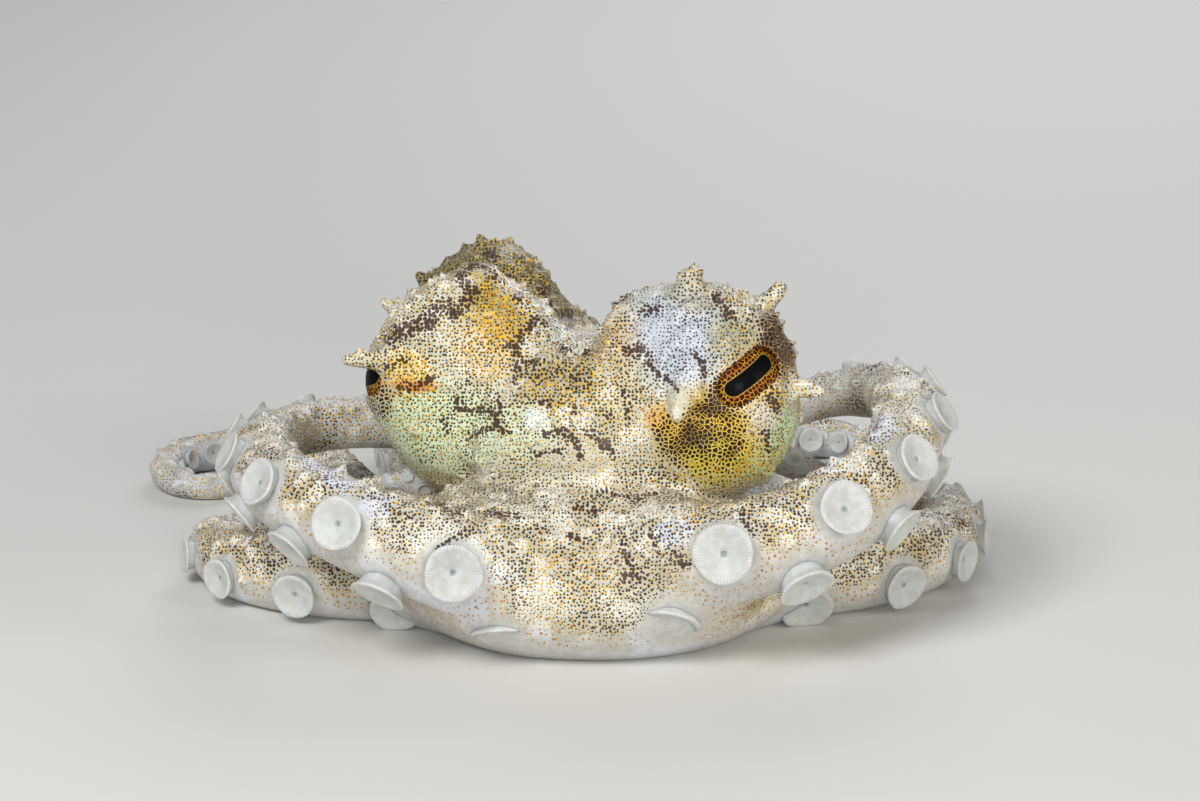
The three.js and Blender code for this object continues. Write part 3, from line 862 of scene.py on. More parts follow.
# %% Warts and papillae
WARTS, WART_SIZES, WART_HEIGHTS, WART_SHARP = 1500, (0.25, 0.5), (0.04, 0.14), 1.6
SPIKES, SPIKE_SIZES, SPIKE_HEIGHTS, SPIKE_SHARP = 820, (0.2, 0.32), (0.08, 0.28), 1.4
LUMPS, LUMP_SIZES, LUMP_HEIGHTS = 700, (0.3, 0.55), (0.05, 0.2)
GRAIN, FINE_GRAIN, SWELL = 0.035, 0.02, 0.07  # mm, how high the noise lifts the skin
GRAIN_APART, FINE_GRAIN_APART, SWELL_APART = 0.5, 0.27, 1.5  # mm
FOLD_HIGH, FOLD_APART = 0.035, 0.42  # mm, the fine folds round the neck
EYE_CLEAR = (0.1, 0.7)  # mm from an eye's opening, from smooth to rough
FLOOR_CLEAR = (0.15, 0.6)  # mm above the floor, from smooth to rough

eye_clear = np.ones(len(skin_points))
for side, (middle, axes) in eyes.items():
    local = (skin_points - middle) @ axes
    opening = slot_distance(local, OPEN_HALF, OPEN_ROUND)
    eye_clear *= np.where(local[:, 2] > 0, share_between(opening, *EYE_CLEAR), 1)
rough = (1 - bare) * eye_clear * share_between(skin_points[:, 2], *FLOOR_CLEAR)
back_skin = on_head_skin * share_between(looks_up, -0.1, 0.7) + on_mantle
back_skin = back_skin + 0.6 * arm_like * (looks_up > 0)

grain = GRAIN * noise(skin_points, GRAIN_APART) + FINE_GRAIN * noise(skin_points, FINE_GRAIN_APART, 9.3)
swell = SWELL * noise(skin_points, SWELL_APART, 4.1)
wart_chance = rough * (0.15 + back_skin)
warts = cones(skin_points, wart_chance, WARTS, WART_SIZES, WART_HEIGHTS, WART_SHARP)
crowns = (on_head_skin + on_mantle) * share_between(skin_points[:, 2], 8.5, 11)
spike_chance = rough * (0.06 + back_skin + 3 * crowns)
spikes = cones(skin_points, spike_chance, SPIKES, SPIKE_SIZES, SPIKE_HEIGHTS, SPIKE_SHARP)
arm_crest = arm_like * share_between(looks_up, 0.1, 0.6) * rough
lump_chance = arm_crest + 0.15 * rough * on_head_skin
lumps = cones(skin_points, lump_chance, LUMPS, LUMP_SIZES, LUMP_HEIGHTS)
from_head = apart[:, 0] + 0.12 * noise(skin_points, 0.9, 3.1)
fold_reach = share_between(from_head, 0.1, 0.35) * (1 - share_between(from_head, 0.9, 1.7))
folds = FOLD_HIGH * arm_like * fold_reach * (looks_up > 0) * np.sin(from_head * 2 * math.pi / FOLD_APART)
raised = rough * (swell + grain * (0.5 + back_skin) + warts + spikes + lumps) + folds
skin_points = skin_points + form_normals * raised[:, None]
skin_points[:, 2] = np.maximum(skin_points[:, 2], 0)
print("raised by up to", raised.max().round(2), "mm")

# %% [markdown]
# ## Colours
# Skin colour comes in layers. Deepest are white and blue-green reflecting cells, which give the ground
# colour of each patch. Over them lie chromatophores, elastic bags of pigment that a ring of muscle
# pulls open: yellow to orange ones, and dark brown ones on top. Where the brown ones are pulled wide
# they touch and read as a dark vein.

# %% Colours
def linear(hex_colour):
    """An sRGB hex colour as linear red, green and blue."""
    values = np.array([int(hex_colour[i:i + 2], 16) for i in (1, 3, 5)]) / 255
    return np.where(values <= 0.04045, values / 12.92, ((values + 0.055) / 1.055) ** 2.4)


GROUND = {
    "head": linear("#D5D2BE"),
    "mantle": linear("#9A9172"),
    "web": linear("#CBC5B2"),
    "arms": linear("#CBC6B8"),
    "milky": linear("#CBCAC8"),
    "white": linear("#EBEAE1"),
    "clay": linear("#B0A37F"),
}
print("ground colours:", ", ".join(GROUND))

# %% [markdown]
# ## A sheet to draw on
# The animal's own marks are drawn on a flat sheet held square before its face, in millimetres
# across and up, and pressed back onto the skin from 200 mm away. Each is a named stroke or patch.
# Only skin that faces the sheet takes them. A little noise moves the sheet's places about, so that
# no mark has a ruled edge.

# %% A sheet to draw on
FACING = (-0.1, 0.3)  # how far the skin must turn to the sheet, from no mark to the whole of it
HEAD_BEHIND, ARMS_BEHIND = 5, 2  # mm behind the head's middle where its marks and the arms' end
SHEET_WANDER = 0.11  # mm
FAR_OFF = 9.0  # mm, farther than any stroke is wide

SHEET_RIGHT = np.array([1.0, 0.0, 0.0])
SHEET_UP = np.array([0.0, math.sin(CAMERA_RISE), math.cos(CAMERA_RISE)])
SHEET_OUT = np.array(BACK)
sheet_place = skin_points - np.array(LOOK_AT)
sheet_scale = CAMERA_AWAY / (CAMERA_AWAY - sheet_place @ SHEET_OUT)
sheet = np.stack([
    sheet_place @ SHEET_RIGHT * sheet_scale,
    sheet_place @ SHEET_UP * sheet_scale + np.array(LOOK_AT) @ SHEET_UP,
], 1)
faces_front = share_between(form_normals @ SHEET_OUT, *FACING)
front_head = faces_front * share_between(on_head_skin, 0.25, 0.6) * (skin_points[:, 1] < HEAD_BEHIND)
front_arms = faces_front * share_between(arm_like, 0.3, 0.7) * (skin_points[:, 1] < ARMS_BEHIND)
front_mantle = faces_front * share_between(on_mantle, 0.3, 0.7)
wobble = 0.05 * noise(skin_points, 0.45, 3.3) + 0.04 * noise(skin_points, 0.2, 8.1)
sheet = sheet + SHEET_WANDER * np.stack([noise(skin_points, 0.5, 1.9), noise(skin_points, 0.5, 5.3)], 1)


def off_stroke(points):
    """How far each point of the skin is from a stroke on the sheet."""
    points = np.array(points, float)
    best = np.full(len(sheet), FAR_OFF)
    for start, end in zip(points, points[1:]):
        line = end - start
        share = np.clip((sheet - start) @ line / (line @ line), 0, 1)
        best = np.minimum(best, np.hypot(*(sheet - start - share[:, None] * line).T))
    return best


def stroke(points, width):
    """1 on the stroke and 0 beside it, with an uneven edge."""
    return 1 - share_between(off_stroke(points) + wobble, 0.1 * width, width)


def patch(at, size):
    """1 inside an oval on the sheet, fading to 0 round it."""
    away = np.hypot((sheet[:, 0] - at[0]) / size[0], (sheet[:, 1] - at[1]) / size[1])
    return 1 - share_between(away + 1.2 * wobble + 0.12 * noise(skin_points, 0.8, 6.6), 0.5, 1.15)


print("on the front of the head:", int(front_head.sum()), "points")

# %% [markdown]
# ## Ground colours
# Every form starts from its own ground colour. Small white clouds and clay-coloured ones are laid over
# it with noise, and then the patches that this animal shows: a green cheek, a golden crown on the
# right turret, a blue-grey one on the left, orange glows by the eyes. Two patches among them are
# painted light instead: a painted shade under the chin and a painted highlight on the tip of the brow
# horn. Each layer goes over those before it, as thin washes of paint do.

# %% Ground colours
# name: (middle, half sizes, colour, strength) on the sheet
HEAD_PATCHES = {
    "green cheek": ((-6.2, 6.4), (2.9, 2.0), "#DDF4CE", 0.78),
    "lower cheek": ((-4.0, 6.3), (2.6, 1.6), "#E6F1D2", 0.6),
    "golden crown": ((-3.7, 11.0), (1.4, 1.8), "#A08A2C", 0.85),
    "amber slope": ((-4.2, 9.4), (1.5, 1.5), "#DDBB76", 0.45),
    "right eye glow": ((-7.1, 8.6), (1.0, 0.9), "#F4DF9A", 0.85),
    "right eye ember": ((-6.9, 8.05), (1.0, 0.28), "#D97B22", 0.8),
    "blue-grey face": ((2.9, 9.9), (2.3, 2.4), "#C0C8D8", 0.85),
    "pale crown": ((3.9, 11.6), (1.9, 1.1), "#B4AC93", 0.7),
    "clay slope": ((0.6, 9.7), (1.1, 1.5), "#C9AE86", 0.55),
    "warm brow": ((1.0, 7.8), (1.5, 1.9), "#DDD2AE", 0.4),
    "orange glow": ((2.35, 6.85), (0.9, 0.7), "#F5B25A", 0.7),
    "white brow": ((4.9, 9.7), (1.1, 1.2), "#A29E7C", 0.8),
    "tan saddle": ((-1.3, 8.2), (1.8, 1.6), "#AFA47E", 0.75),
    "tan cheek": ((6.4, 7.6), (0.6, 0.6), "#D4BC7C", 0.6),
    "white under eye": ((6.1, 6.8), (0.95, 0.65), "#EEE8DA", 0.8),
    "green edge": ((6.9, 5.9), (0.7, 1.6), "#C4EABA", 0.7),
    "lime jowl": ((5.9, 5.2), (1.4, 1.1), "#D6E2A2", 0.75),
    "yellow net": ((3.9, 6.3), (2.1, 1.8), "#E2B925", 0.95),
    "lime net": ((4.3, 5.2), (1.7, 1.1), "#D6CF58", 0.65),
    "umber rear": ((6.7, 9.7), (0.9, 1.7), "#7A6234", 0.9),
    "white spot": ((-2.4, 6.8), (0.55, 0.55), "#DDE3DA", 0.9),
    "white dab": ((-1.2, 6.9), (0.5, 0.45), "#F4F3EA", 0.6),
    # painted shade under the head, where the chin turns down to the web
    "shaded chin": ((-0.9, 5.6), (2.0, 0.9), "#B4AB88", 0.5),
    "white chin": ((-0.7, 4.7), (1.4, 0.4), "#E4E3D6", 0.3),
    "brow horn": ((2.9, 7.4), (0.6, 0.85), "#CBC8B6", 0.85),
    # painted highlight: a near-white dab where light catches the tip of the horn that hangs over the net
    "horn tip highlight": ((2.85, 7.0), (0.26, 0.26), "#DEDDD0", 0.7),
}
WHITE_RIDGE = ((-3.6, 12.1), (-3.0, 11.8), (-2.3, 10.7), (-1.5, 10.0), (-1.2, 9.6))
LOW_BAND, LOW_BAND_SIZE = (0.6, 1.4), (4.2, 1.1)
BLUE_DAB_SIZE = (0.8, 0.6)
BLUE_DABS = ((-9.6, 4.6), (9.6, 7.2), (8.2, 5.3), (-8.3, 3.6), (10.3, 6.4), (-10.6, 5.3), (2.8, 2.6))


def lay(ground, colour, share):
    """A wash of colour over the ground, as thick as its share at each point."""
    return ground + (colour - ground) * np.clip(share, 0, 1)[:, None]


forms = np.stack([GROUND["head"], GROUND["mantle"], GROUND["web"], GROUND["arms"]])
tint = belongs @ forms
tint = lay(tint, GROUND["clay"], 0.55 * share_between(noise(skin_points, 2.1, 2.2), 0.15, 0.6))
pale = share_between(noise(skin_points, 0.75, 7.7), 0.05, 0.5)
bumps = share_between(warts + spikes + lumps, 0.03, 0.12)
pale = np.maximum(pale, bumps)
tint = lay(tint, GROUND["white"], 0.8 * pale * (1 - 0.6 * on_mantle))
dark_clouds = share_between(noise(skin_points, 1.3, 1.7), 0.3, 0.6) * on_mantle
tint = lay(tint, GROUND["clay"] * 0.5, 0.6 * dark_clouds)
tint = lay(tint, linear("#857B52"), 0.82 * front_mantle)
behind = on_head_skin * (1 - faces_front) * share_between(skin_points[:, 1], 0.5, 5.0)
tint = lay(tint, GROUND["mantle"], (0.55 + 0.3 * noise(skin_points, 1.6, 6.9)) * behind)
for at, size, colour, strength in HEAD_PATCHES.values():
    tint = lay(tint, linear(colour), strength * patch(at, size) * front_head)
tint = lay(tint, linear("#EEF0EA"), 0.85 * stroke(WHITE_RIDGE, 0.75) * faces_front * (1 - on_mantle))
tint = lay(tint, GROUND["milky"], 0.9 * bare)
tint = lay(tint, linear("#B4A78C"), 0.4 * patch(LOW_BAND, LOW_BAND_SIZE) * front_arms)
for at in BLUE_DABS:
    tint = lay(tint, linear("#D2DDF6"), 0.6 * patch(at, BLUE_DAB_SIZE) * front_arms)
far_arm = on_arm * share_between(arm_share, 0.35, 0.9)
tint = lay(tint, linear("#B9C4D6"), 0.45 * far_arm)
shine = arm_like * share_between(noise(skin_points, 1.2, 2.7), 0.25, 0.6)
shine = shine * share_between(under, -0.1, 0.4)
tint = lay(tint, linear("#E2E8F8"), 0.5 * shine * (1 - round_cup))
print("mean ground colour:", tint.mean(0).round(3))

# %% [markdown]
# ## Dark veins
# The strokes below are the branching dark veins of the face and the arms, drawn where the brown bags
# are pulled wide. On the back and the far arms, where the marks are smaller, the veins follow the
# ridges of noise instead: the thin lines where it passes through zero.

# %% Dark veins
# name: (width in mm, points on the sheet)
HEAD_VEINS = {
    "crown band": (0.44, [
        (-7.7, 9.8), (-7.3, 10.1), (-6.9, 10.2), (-6.4, 10.3), (-6.2, 10.8), (-5.8, 11.1), (-5.4, 10.7),
        (-5.0, 11.1), (-4.7, 11.5),
    ]),
    "crown loop": (0.34, [
        (-4.7, 11.5), (-5.0, 11.9), (-5.1, 12.2), (-4.7, 12.5), (-4.3, 12.4), (-3.9, 12.1),
    ]),
    "tree": (0.24, [
        (-2.5, 10.5), (-2.6, 10.1), (-2.9, 9.8), (-3.1, 9.5), (-3.0, 9.1), (-3.1, 8.8), (-3.1, 8.3),
    ]),
    "tree fork": (0.24, [(-3.0, 9.1), (-2.7, 8.9), (-2.3, 8.9)]),
    "tree twig": (0.19, [(-3.4, 9.6), (-3.1, 9.4)]),
    "tree top": (0.19, [(-2.5, 10.5), (-2.1, 10.3)]),
    "eye lash": (0.21, [(-8.0, 8.7), (-7.6, 8.8), (-7.1, 8.9)]),
    "eye line": (0.24, [(-7.8, 7.7), (-7.4, 7.9), (-6.9, 8.0), (-6.3, 8.3)]),
    "cheek": (0.24, [
        (-5.3, 7.2), (-5.0, 7.2), (-4.6, 7.1), (-4.3, 7.2), (-4.0, 7.1), (-3.9, 6.7), (-3.9, 6.5),
        (-3.4, 6.3),
    ]),
    "cheek low": (0.21, [(-3.9, 6.5), (-4.2, 6.4), (-4.6, 6.2), (-4.8, 6.1)]),
    "cheek up": (0.19, [(-3.7, 7.1), (-3.8, 7.6)]),
    "jaw": (0.21, [(-5.8, 6.7), (-5.6, 6.3)]),
    "chin": (0.24, [(-2.1, 6.3), (-1.5, 6.3), (-1.1, 6.2), (-0.9, 5.9), (-0.7, 5.6), (-0.7, 5.4)]),
    "chin fork": (0.26, [(-0.5, 6.4), (-0.1, 6.1), (0.2, 5.8), (0.5, 5.5)]),
    "chin low": (0.19, [(-2.4, 5.5), (-1.9, 5.6), (-1.4, 5.5)]),
    "brow": (0.34, [(1.0, 9.4), (1.4, 9.3), (1.8, 9.1), (1.9, 8.8)]),
    "brow run": (0.22, [(1.9, 8.8), (2.1, 8.5), (2.4, 8.3), (2.9, 7.9)]),
    "horn dash": (0.24, [(3.6, 9.1), (3.9, 8.8), (3.75, 8.3)]),
    "top patch": (0.34, [(4.3, 11.3), (4.5, 11.0), (4.8, 10.6)]),
    "top edge": (0.29, [(1.6, 10.8), (2.2, 10.8)]),
    "side ticks": (0.19, [(0.8, 8.0), (1.0, 7.4), (1.1, 6.7)]),
    "rear cap": (0.64, [(5.9, 10.6), (6.5, 9.9), (6.9, 9.0)]),
    "under eye": (0.24, [(6.4, 7.6), (6.6, 7.0)]),
    "edge ticks": (0.19, [(6.1, 6.3), (6.3, 5.6)]),
}
HEAD_DOTS = (
    (-5.2, 7.5), (-2.1, 7.4), (-0.9, 8.3), (-0.9, 7.1), (-1.3, 9.4), (-0.5, 9.3), (-3.0, 11.3),
    (0.3, 6.9),
)
MANTLE_DOTS = ((-2.1, 11.6), (-2.0, 11.1), (-1.3, 10.6), (-4.0, 12.9))
ARM_VEINS = {
    "left long": (0.2, [(-6.3, 3.6), (-5.9, 3.6), (-5.5, 3.4), (-5.1, 3.4)]),
    "left dash": (0.2, [(-4.1, 3.3), (-3.4, 3.3), (-2.9, 3.2)]),
    "left tick": (0.18, [(-5.9, 2.0), (-5.5, 2.3), (-4.9, 2.6)]),
    "middle": (0.17, [(-1.1, 2.5), (-0.6, 2.4)]),
    "middle up": (0.18, [(-1.0, 3.5), (-0.1, 3.3)]),
    "crease": (0.2, [(0.3, 4.0), (1.1, 3.9), (2.0, 4.0)]),
    "right hook": (0.2, [(0.8, 2.3), (0.9, 1.8), (1.4, 0.9), (0.9, 1.0)]),
    "right run": (0.2, [(1.9, 2.6), (2.0, 2.1), (2.2, 1.8)]),
    "right fork": (0.2, [(2.7, 1.9), (3.0, 1.3), (3.5, 1.5)]),
    "right tick": (0.18, [(5.3, 3.2), (5.4, 2.8), (5.7, 2.5)]),
}
HEAD_DOT_SIZE, MANTLE_DOT_SIZE = (0.22, 0.18), (0.3, 0.24)
RIDGE_WIDE = (0.03, 0.3)  # how far the noise is from zero, from a vein's middle to its edge

vein = np.zeros(len(skin_points))
for width, points in HEAD_VEINS.values():
    vein = np.maximum(vein, stroke(points, width) * front_head)
for at in HEAD_DOTS:
    vein = np.maximum(vein, patch(at, HEAD_DOT_SIZE) * front_head)
for at in MANTLE_DOTS:
    vein = np.maximum(vein, patch(at, MANTLE_DOT_SIZE) * front_mantle)
for width, points in ARM_VEINS.values():
    vein = np.maximum(vein, 0.9 * stroke(points, width) * front_arms)
ridges = 1 - share_between(np.abs(noise(skin_points, 1.7, 5.5) + 2 * wobble), *RIDGE_WIDE)
clouds = share_between(noise(skin_points, 1.9, 8.8), 0.1, 0.5)
unseen = 1 - np.clip(front_head + front_arms, 0, 1)
vein = np.maximum(vein, 0.8 * ridges * clouds * unseen * (1 - bare) * (1 - 0.6 * far_arm))
print("veined:", round(float((vein > 0.5).mean()), 3))

# %% [markdown]
# ## Nets
# Below the left eye the brown bags are pulled so wide that only a yellow net is left between them,
# and its lines are thinner where the net is deep. A finer net lies behind each eye, and another one
# is the ring of iris that shows round the ball. The papilla that hangs over the net is free of it.

# %% Nets
NET_EDGE = (
    (4.3, 8.4), (5.1, 7.5), (5.4, 7.2), (5.5, 6.6), (5.2, 5.7), (5.1, 4.9), (4.6, 4.3),
    (3.6, 4.4), (2.7, 5.1), (2.1, 6.0), (2.0, 6.6), (2.7, 6.9), (3.4, 7.1), (3.9, 7.5),
)
NET_DEPTH, LEAST_DEPTH = 0.66, 0.2  # 1 where the lines are thinnest
# (middle, half sizes, how much deeper the net is) on the sheet
NET_DEEPER = ((3.6, 6.2), (0.9, 0.6), 0.4), ((4.5, 7.2), (0.8, 0.6), 0.3), ((4.0, 4.6), (2.0, 1.0), -0.3)
RING_WIDE = (0.02, 0.22)  # mm outside the opening, from full iris to none
REAR_NET, REAR_NET_SIZE = (6.6, 9.7), (0.9, 1.6)
RIGHT_NET, RIGHT_NET_SIZE = (-8.1, 7.5), (0.6, 0.9)
HANGING_HORN, HANGING_HORN_SIZE = (2.9, 7.35), (0.45, 0.7)


def inside_edge(edge):
    """1 inside a closed outline on the sheet and 0 outside it."""
    edge = np.array(edge)
    odd = np.zeros(len(sheet), bool)
    for (x0, y0), (x1, y1) in zip(edge, np.roll(edge, -1, axis=0)):
        spans = (y0 > sheet[:, 1]) != (y1 > sheet[:, 1])
        odd ^= spans & (sheet[:, 0] < (x1 - x0) * (sheet[:, 1] - y0) / (y1 - y0) + x0)
    off = off_stroke([*edge, edge[0]]) * np.where(odd, -1, 1)
    return 1 - share_between(off + 2 * wobble, -0.1, 0.35)


net_depth = NET_DEPTH + 0.2 * noise(skin_points, 0.9, 2.9) + 0.2 * noise(skin_points, 0.35, 7.3)
for at, size, deeper in NET_DEEPER:
    net_depth = net_depth + deeper * patch(at, size)
net = inside_edge(NET_EDGE) * np.clip(net_depth, LEAST_DEPTH, 1) * front_head
net = np.maximum(net, 0.85 * patch(REAR_NET, REAR_NET_SIZE) * front_head)
net = np.maximum(net, 0.65 * patch(RIGHT_NET, RIGHT_NET_SIZE) * front_head)
net = net * (1 - patch(HANGING_HORN, HANGING_HORN_SIZE) * front_head)

iris_ring = np.zeros(len(skin_points))
for side, (middle, axes) in eyes.items():
    local = (skin_points - middle) @ axes
    opening = slot_distance(local, OPEN_HALF, OPEN_ROUND)
    ring = (1 - share_between(opening + wobble, *RING_WIDE)) * (local[:, 2] > 0)
    iris_ring = np.maximum(iris_ring, ring)
net = np.maximum(net, iris_ring)
tint = lay(tint, linear("#D8951F"), 0.7 * iris_ring)
print("netted:", round(float((net > 0.5).mean()), 3))

# %% [markdown]
# ## How wide each bag is pulled
# The muscles round a bag set its width, and here one number per point does. Brown bags are wide in a
# vein and small on pale clouds, golden ones are wide on the warm patches, and the amber ones show
# only where the speckled skin of an arm gives way to bare flesh.

# %% How wide each bag is pulled
# radii below are in shares of the spacing of the bags
BROWN_BASE, GOLD_BASE, AMBER_BASE, VEIN_FULL = 0.265, 0.22, 0.2, 0.6
# name: (middle, half sizes, wider brown bags, wider golden bags) on the sheet
DOT_PATCHES = {
    "saddle": ((-1.3, 8.2), (1.8, 1.6), 0.08, 0.09),
    "above the left eye": ((4.8, 9.6), (1.1, 1.2), 0.05, 0.08),
    "left crown": ((3.9, 11.6), (2.0, 1.2), 0.05, 0.05),
    "blue-grey face": ((2.9, 9.9), (2.4, 2.6), -0.01, -0.15),
    "net fringe": ((3.5, 4.6), (2.4, 0.8), 0.08, 0.08),
    "golden crown": ((-3.7, 11.0), (1.6, 2.2), 0.02, 0.12),
    "amber slope": ((-4.0, 9.4), (1.5, 1.3), 0.04, 0.1),
    "right eye glow": ((-7.0, 8.3), (1.3, 1.2), 0.02, 0.12),
    "left jowl": ((5.6, 5.2), (1.6, 1.2), 0.0, 0.08),
    "left cheek": ((6.3, 7.5), (0.6, 0.6), 0.04, 0.1),
    "white spot": ((-2.4, 6.8), (0.5, 0.5), -0.08, -0.1),
    "brow horn": ((2.9, 7.35), (0.5, 0.8), -0.17, -0.1),
    "white under eye": ((6.1, 6.8), (0.95, 0.6), -0.07, -0.04),
}

dorsal = 1 - share_between(under + 0.15 * noise(skin_points, 1.1, 3.7), 0.4, 0.75) * arm_like
brown_size = BROWN_BASE + 0.03 * noise(skin_points, 2.5, 6.1) + 0.07 * noise(skin_points, 0.7, 9.9)
brown_size = brown_size - (0.06 + 0.05 * arm_like) * pale + 0.05 * on_mantle + 0.06 * arm_like
gold_size = GOLD_BASE + 0.07 * noise(skin_points, 1.7, 3.9)
for at, size, more_brown, more_gold in DOT_PATCHES.values():
    here = patch(at, size) * front_head
    brown_size = brown_size + more_brown * here
    gold_size = gold_size + more_gold * here
brown_size = brown_size * dorsal * (1 - round_cup) * (1 - 0.5 * far_arm)
brown_size = brown_size + (VEIN_FULL - brown_size) * vein
gold_size = gold_size * (1 - share_between(under, 0.45, 0.85) * arm_like) * (1 - round_cup)
amber_size = AMBER_BASE * arm_like * share_between(under, 0.25, 0.6)
amber_size = amber_size * (1 - share_between(under, 0.9, 1.2))
amber_size = amber_size * (1 - round_cup) * (1 + 0.3 * noise(skin_points, 1.4, 4.4))
print("brown bags' radius:", round(float(brown_size.mean()), 3), "of their spacing")

# %% [markdown]
# ## Sucker cups
# A sucker is a soft bowl: a rounded rim, a dished floor with fine rays, and a shallow dimple in the
# middle where the hole to the chamber below opens; the shade inside that hole is painted on as a
# darker grey. One outline is turned about the sucker's own direction, in steps small enough that the
# rim reads round, and its foot is sunk into the pad so no seam shows.

# %% Sucker cups
# outline of half a cup, in shares of the sucker's width: (distance from the middle, height)
CUP = np.array([
    (0.42, -0.30), (0.42, -0.16), (0.42, -0.06), (0.435, 0.02), (0.475, 0.085), (0.513, 0.125),
    (0.522, 0.148), (0.505, 0.164), (0.47, 0.17), (0.435, 0.165), (0.40, 0.15), (0.36, 0.13), (0.28, 0.1),
    (0.20, 0.08), (0.12, 0.065), (0.07, 0.055), (0.045, 0.035), (0.025, 0.015), (0.0, 0.01),
])
CUP_RIM, CUP_BOWL, CUP_SHADED_HOLE = 5, 10, 16  # where on the outline each part starts
CUP_LIFT = 0.07  # how far the outline stands off the arm, in shares of the width
LOWEST = 0.002  # mm above the floor, so that no rim cuts into it
CUP_CLEAR, SMALLEST_CUP = 0.12, 0.38  # mm above the floor that a rim needs, and mm across
CUP_SIDES, SMALL_CUP_SIDES, LARGE_CUP = 40, 24, 0.9  # a cup over this many mm gets the finer rim


def turned(base, way, size, sides):
    """Points, quads, outline numbers and places across the disc of one sucker cup."""
    across = np.cross(way, (0.0, 0.0, 1.0) if abs(way[2]) < 0.9 else (1.0, 0.0, 0.0))
    across /= np.linalg.norm(across)
    third = np.cross(way, across)
    angle = np.linspace(0, 2 * math.pi, sides, endpoint=False)
    uneven = 1 + 0.02 * np.sin(angle * 3 + size * 40) + 0.01 * np.sin(angle * 5 + size * 90)
    spoke = np.cos(angle)[:, None] * across + np.sin(angle)[:, None] * third
    out = CUP[:, 0][:, None, None] * uneven[None, :, None] * size
    points = base + spoke[None] * out + way * (CUP[:, 1] + CUP_LIFT)[:, None, None] * size
    disc = np.stack([np.cos(angle), np.sin(angle)], 1)[None] * CUP[:, 0][:, None, None]
    step = np.arange(sides)
    rows = np.arange(len(CUP) - 1)[:, None] * sides
    after = (step + 1) % sides
    faces = np.stack([rows + step, rows + after, rows + sides + after, rows + sides + step], -1)
    row = np.repeat(np.arange(len(CUP)), sides)
    return points.reshape(-1, 3), faces.reshape(-1, 4), row, disc.reshape(-1, 2)


cup_points, cup_quads, cup_rows, cup_disc = [], [], [], []
start = len(skin_points)
for base, way, size in suckers:
    if base[2] + way[2] * size * RIM_OUT < CUP_CLEAR or size < SMALLEST_CUP:
        continue
    sides = CUP_SIDES if size > LARGE_CUP else SMALL_CUP_SIDES
    points, faces, row, disc = turned(base, way, size, sides)
    cup_points.append(points)
    cup_quads.append(faces + start)
    cup_rows.append(row)
    cup_disc.append(disc)
    start += len(points)
cups_made = len(cup_points)
cup_points, cup_quads = np.vstack(cup_points), np.vstack(cup_quads)
cup_rows, cup_disc = np.concatenate(cup_rows), np.vstack(cup_disc)
cup_points[:, 2] = np.maximum(cup_points[:, 2], LOWEST)
# the rim and bowl greys are the cup's own milky colour; the darker grey of the middle rows is painted
# shade for the hole, which the outline only dimples
cup_tint = np.where((cup_rows >= CUP_BOWL)[:, None], linear("#CACCCA"), linear("#C6C8C8"))
cup_tint = np.where((cup_rows >= CUP_SHADED_HOLE)[:, None], linear("#A9ADB1"), cup_tint)
cup_disc = np.where((cup_rows >= CUP_RIM)[:, None], cup_disc, 0)
print("cups:", cups_made, "with", len(cup_quads), "quads")

# %% [markdown]
# ## One skin
# The flesh and the cups go into one mesh, in metres. It carries what the material needs at each
# point: the ground colour, the widths of the brown, golden and amber bags, where the net is, how bare
# the flesh is, and the place across a cup.
#
# Real bags lie in one flat layer, evenly spaced. So each face also gets its place on a flat sheet,
# the one of three (front, top, side) that it faces most, and the dots are laid out on the sheets.

# %% One skin
all_points = np.vstack([skin_points, cup_points]) * MM
all_quads = np.vstack([quads, cup_quads])
cup_point_count = len(cup_points)
SHEET_FAVOUR = (1.0, 1.0, 1.4)  # of the sheets seen from the side, from above and from the front
SHEET_APART = 40  # mm between the sheets' dots, so that no two sheets show the same ones

skin_mesh = bpy.data.meshes.new("skin")
skin_mesh.vertices.add(len(all_points))
skin_mesh.vertices.foreach_set("co", all_points.ravel())
skin_mesh.loops.add(all_quads.size)
skin_mesh.loops.foreach_set("vertex_index", all_quads.ravel().astype(np.int32))
skin_mesh.polygons.add(len(all_quads))
skin_mesh.polygons.foreach_set("loop_start", np.arange(0, all_quads.size, 4, dtype=np.int32))
skin_mesh.update(calc_edges=True)
skin_mesh.shade_smooth()


def write_attribute(name, kind, values, domain="POINT"):
    """Stores one value per point, or per corner, of the skin."""
    layer = skin_mesh.attributes.new(name, kind, domain)
    key = {"FLOAT": "value", "FLOAT_COLOR": "color", "FLOAT_VECTOR": "vector"}[kind]
    layer.data.foreach_set(key, np.ascontiguousarray(values, np.float32).ravel())


def with_cups(values, cup_value):
    """The skin's values, followed by one value for all points of the cups."""
    return np.concatenate([values, np.full(cup_point_count, cup_value)])


tint_all = np.clip(np.vstack([tint, cup_tint]), 0, 1)
write_attribute("tint", "FLOAT_COLOR", np.column_stack([tint_all, np.ones(len(tint_all))]))
for name, values, cup_value in (
    ("brown", brown_size, 0),
    ("gold", gold_size, 0),
    ("amber", amber_size, 0),
    ("net", net, 0),
    ("bare", bare, 1),
):
    write_attribute(name, "FLOAT", with_cups(values, cup_value))
disc_all = np.vstack([np.zeros((len(skin_points), 2)), cup_disc])
write_attribute("disc", "FLOAT_VECTOR", np.column_stack([disc_all, np.zeros(len(disc_all))]))

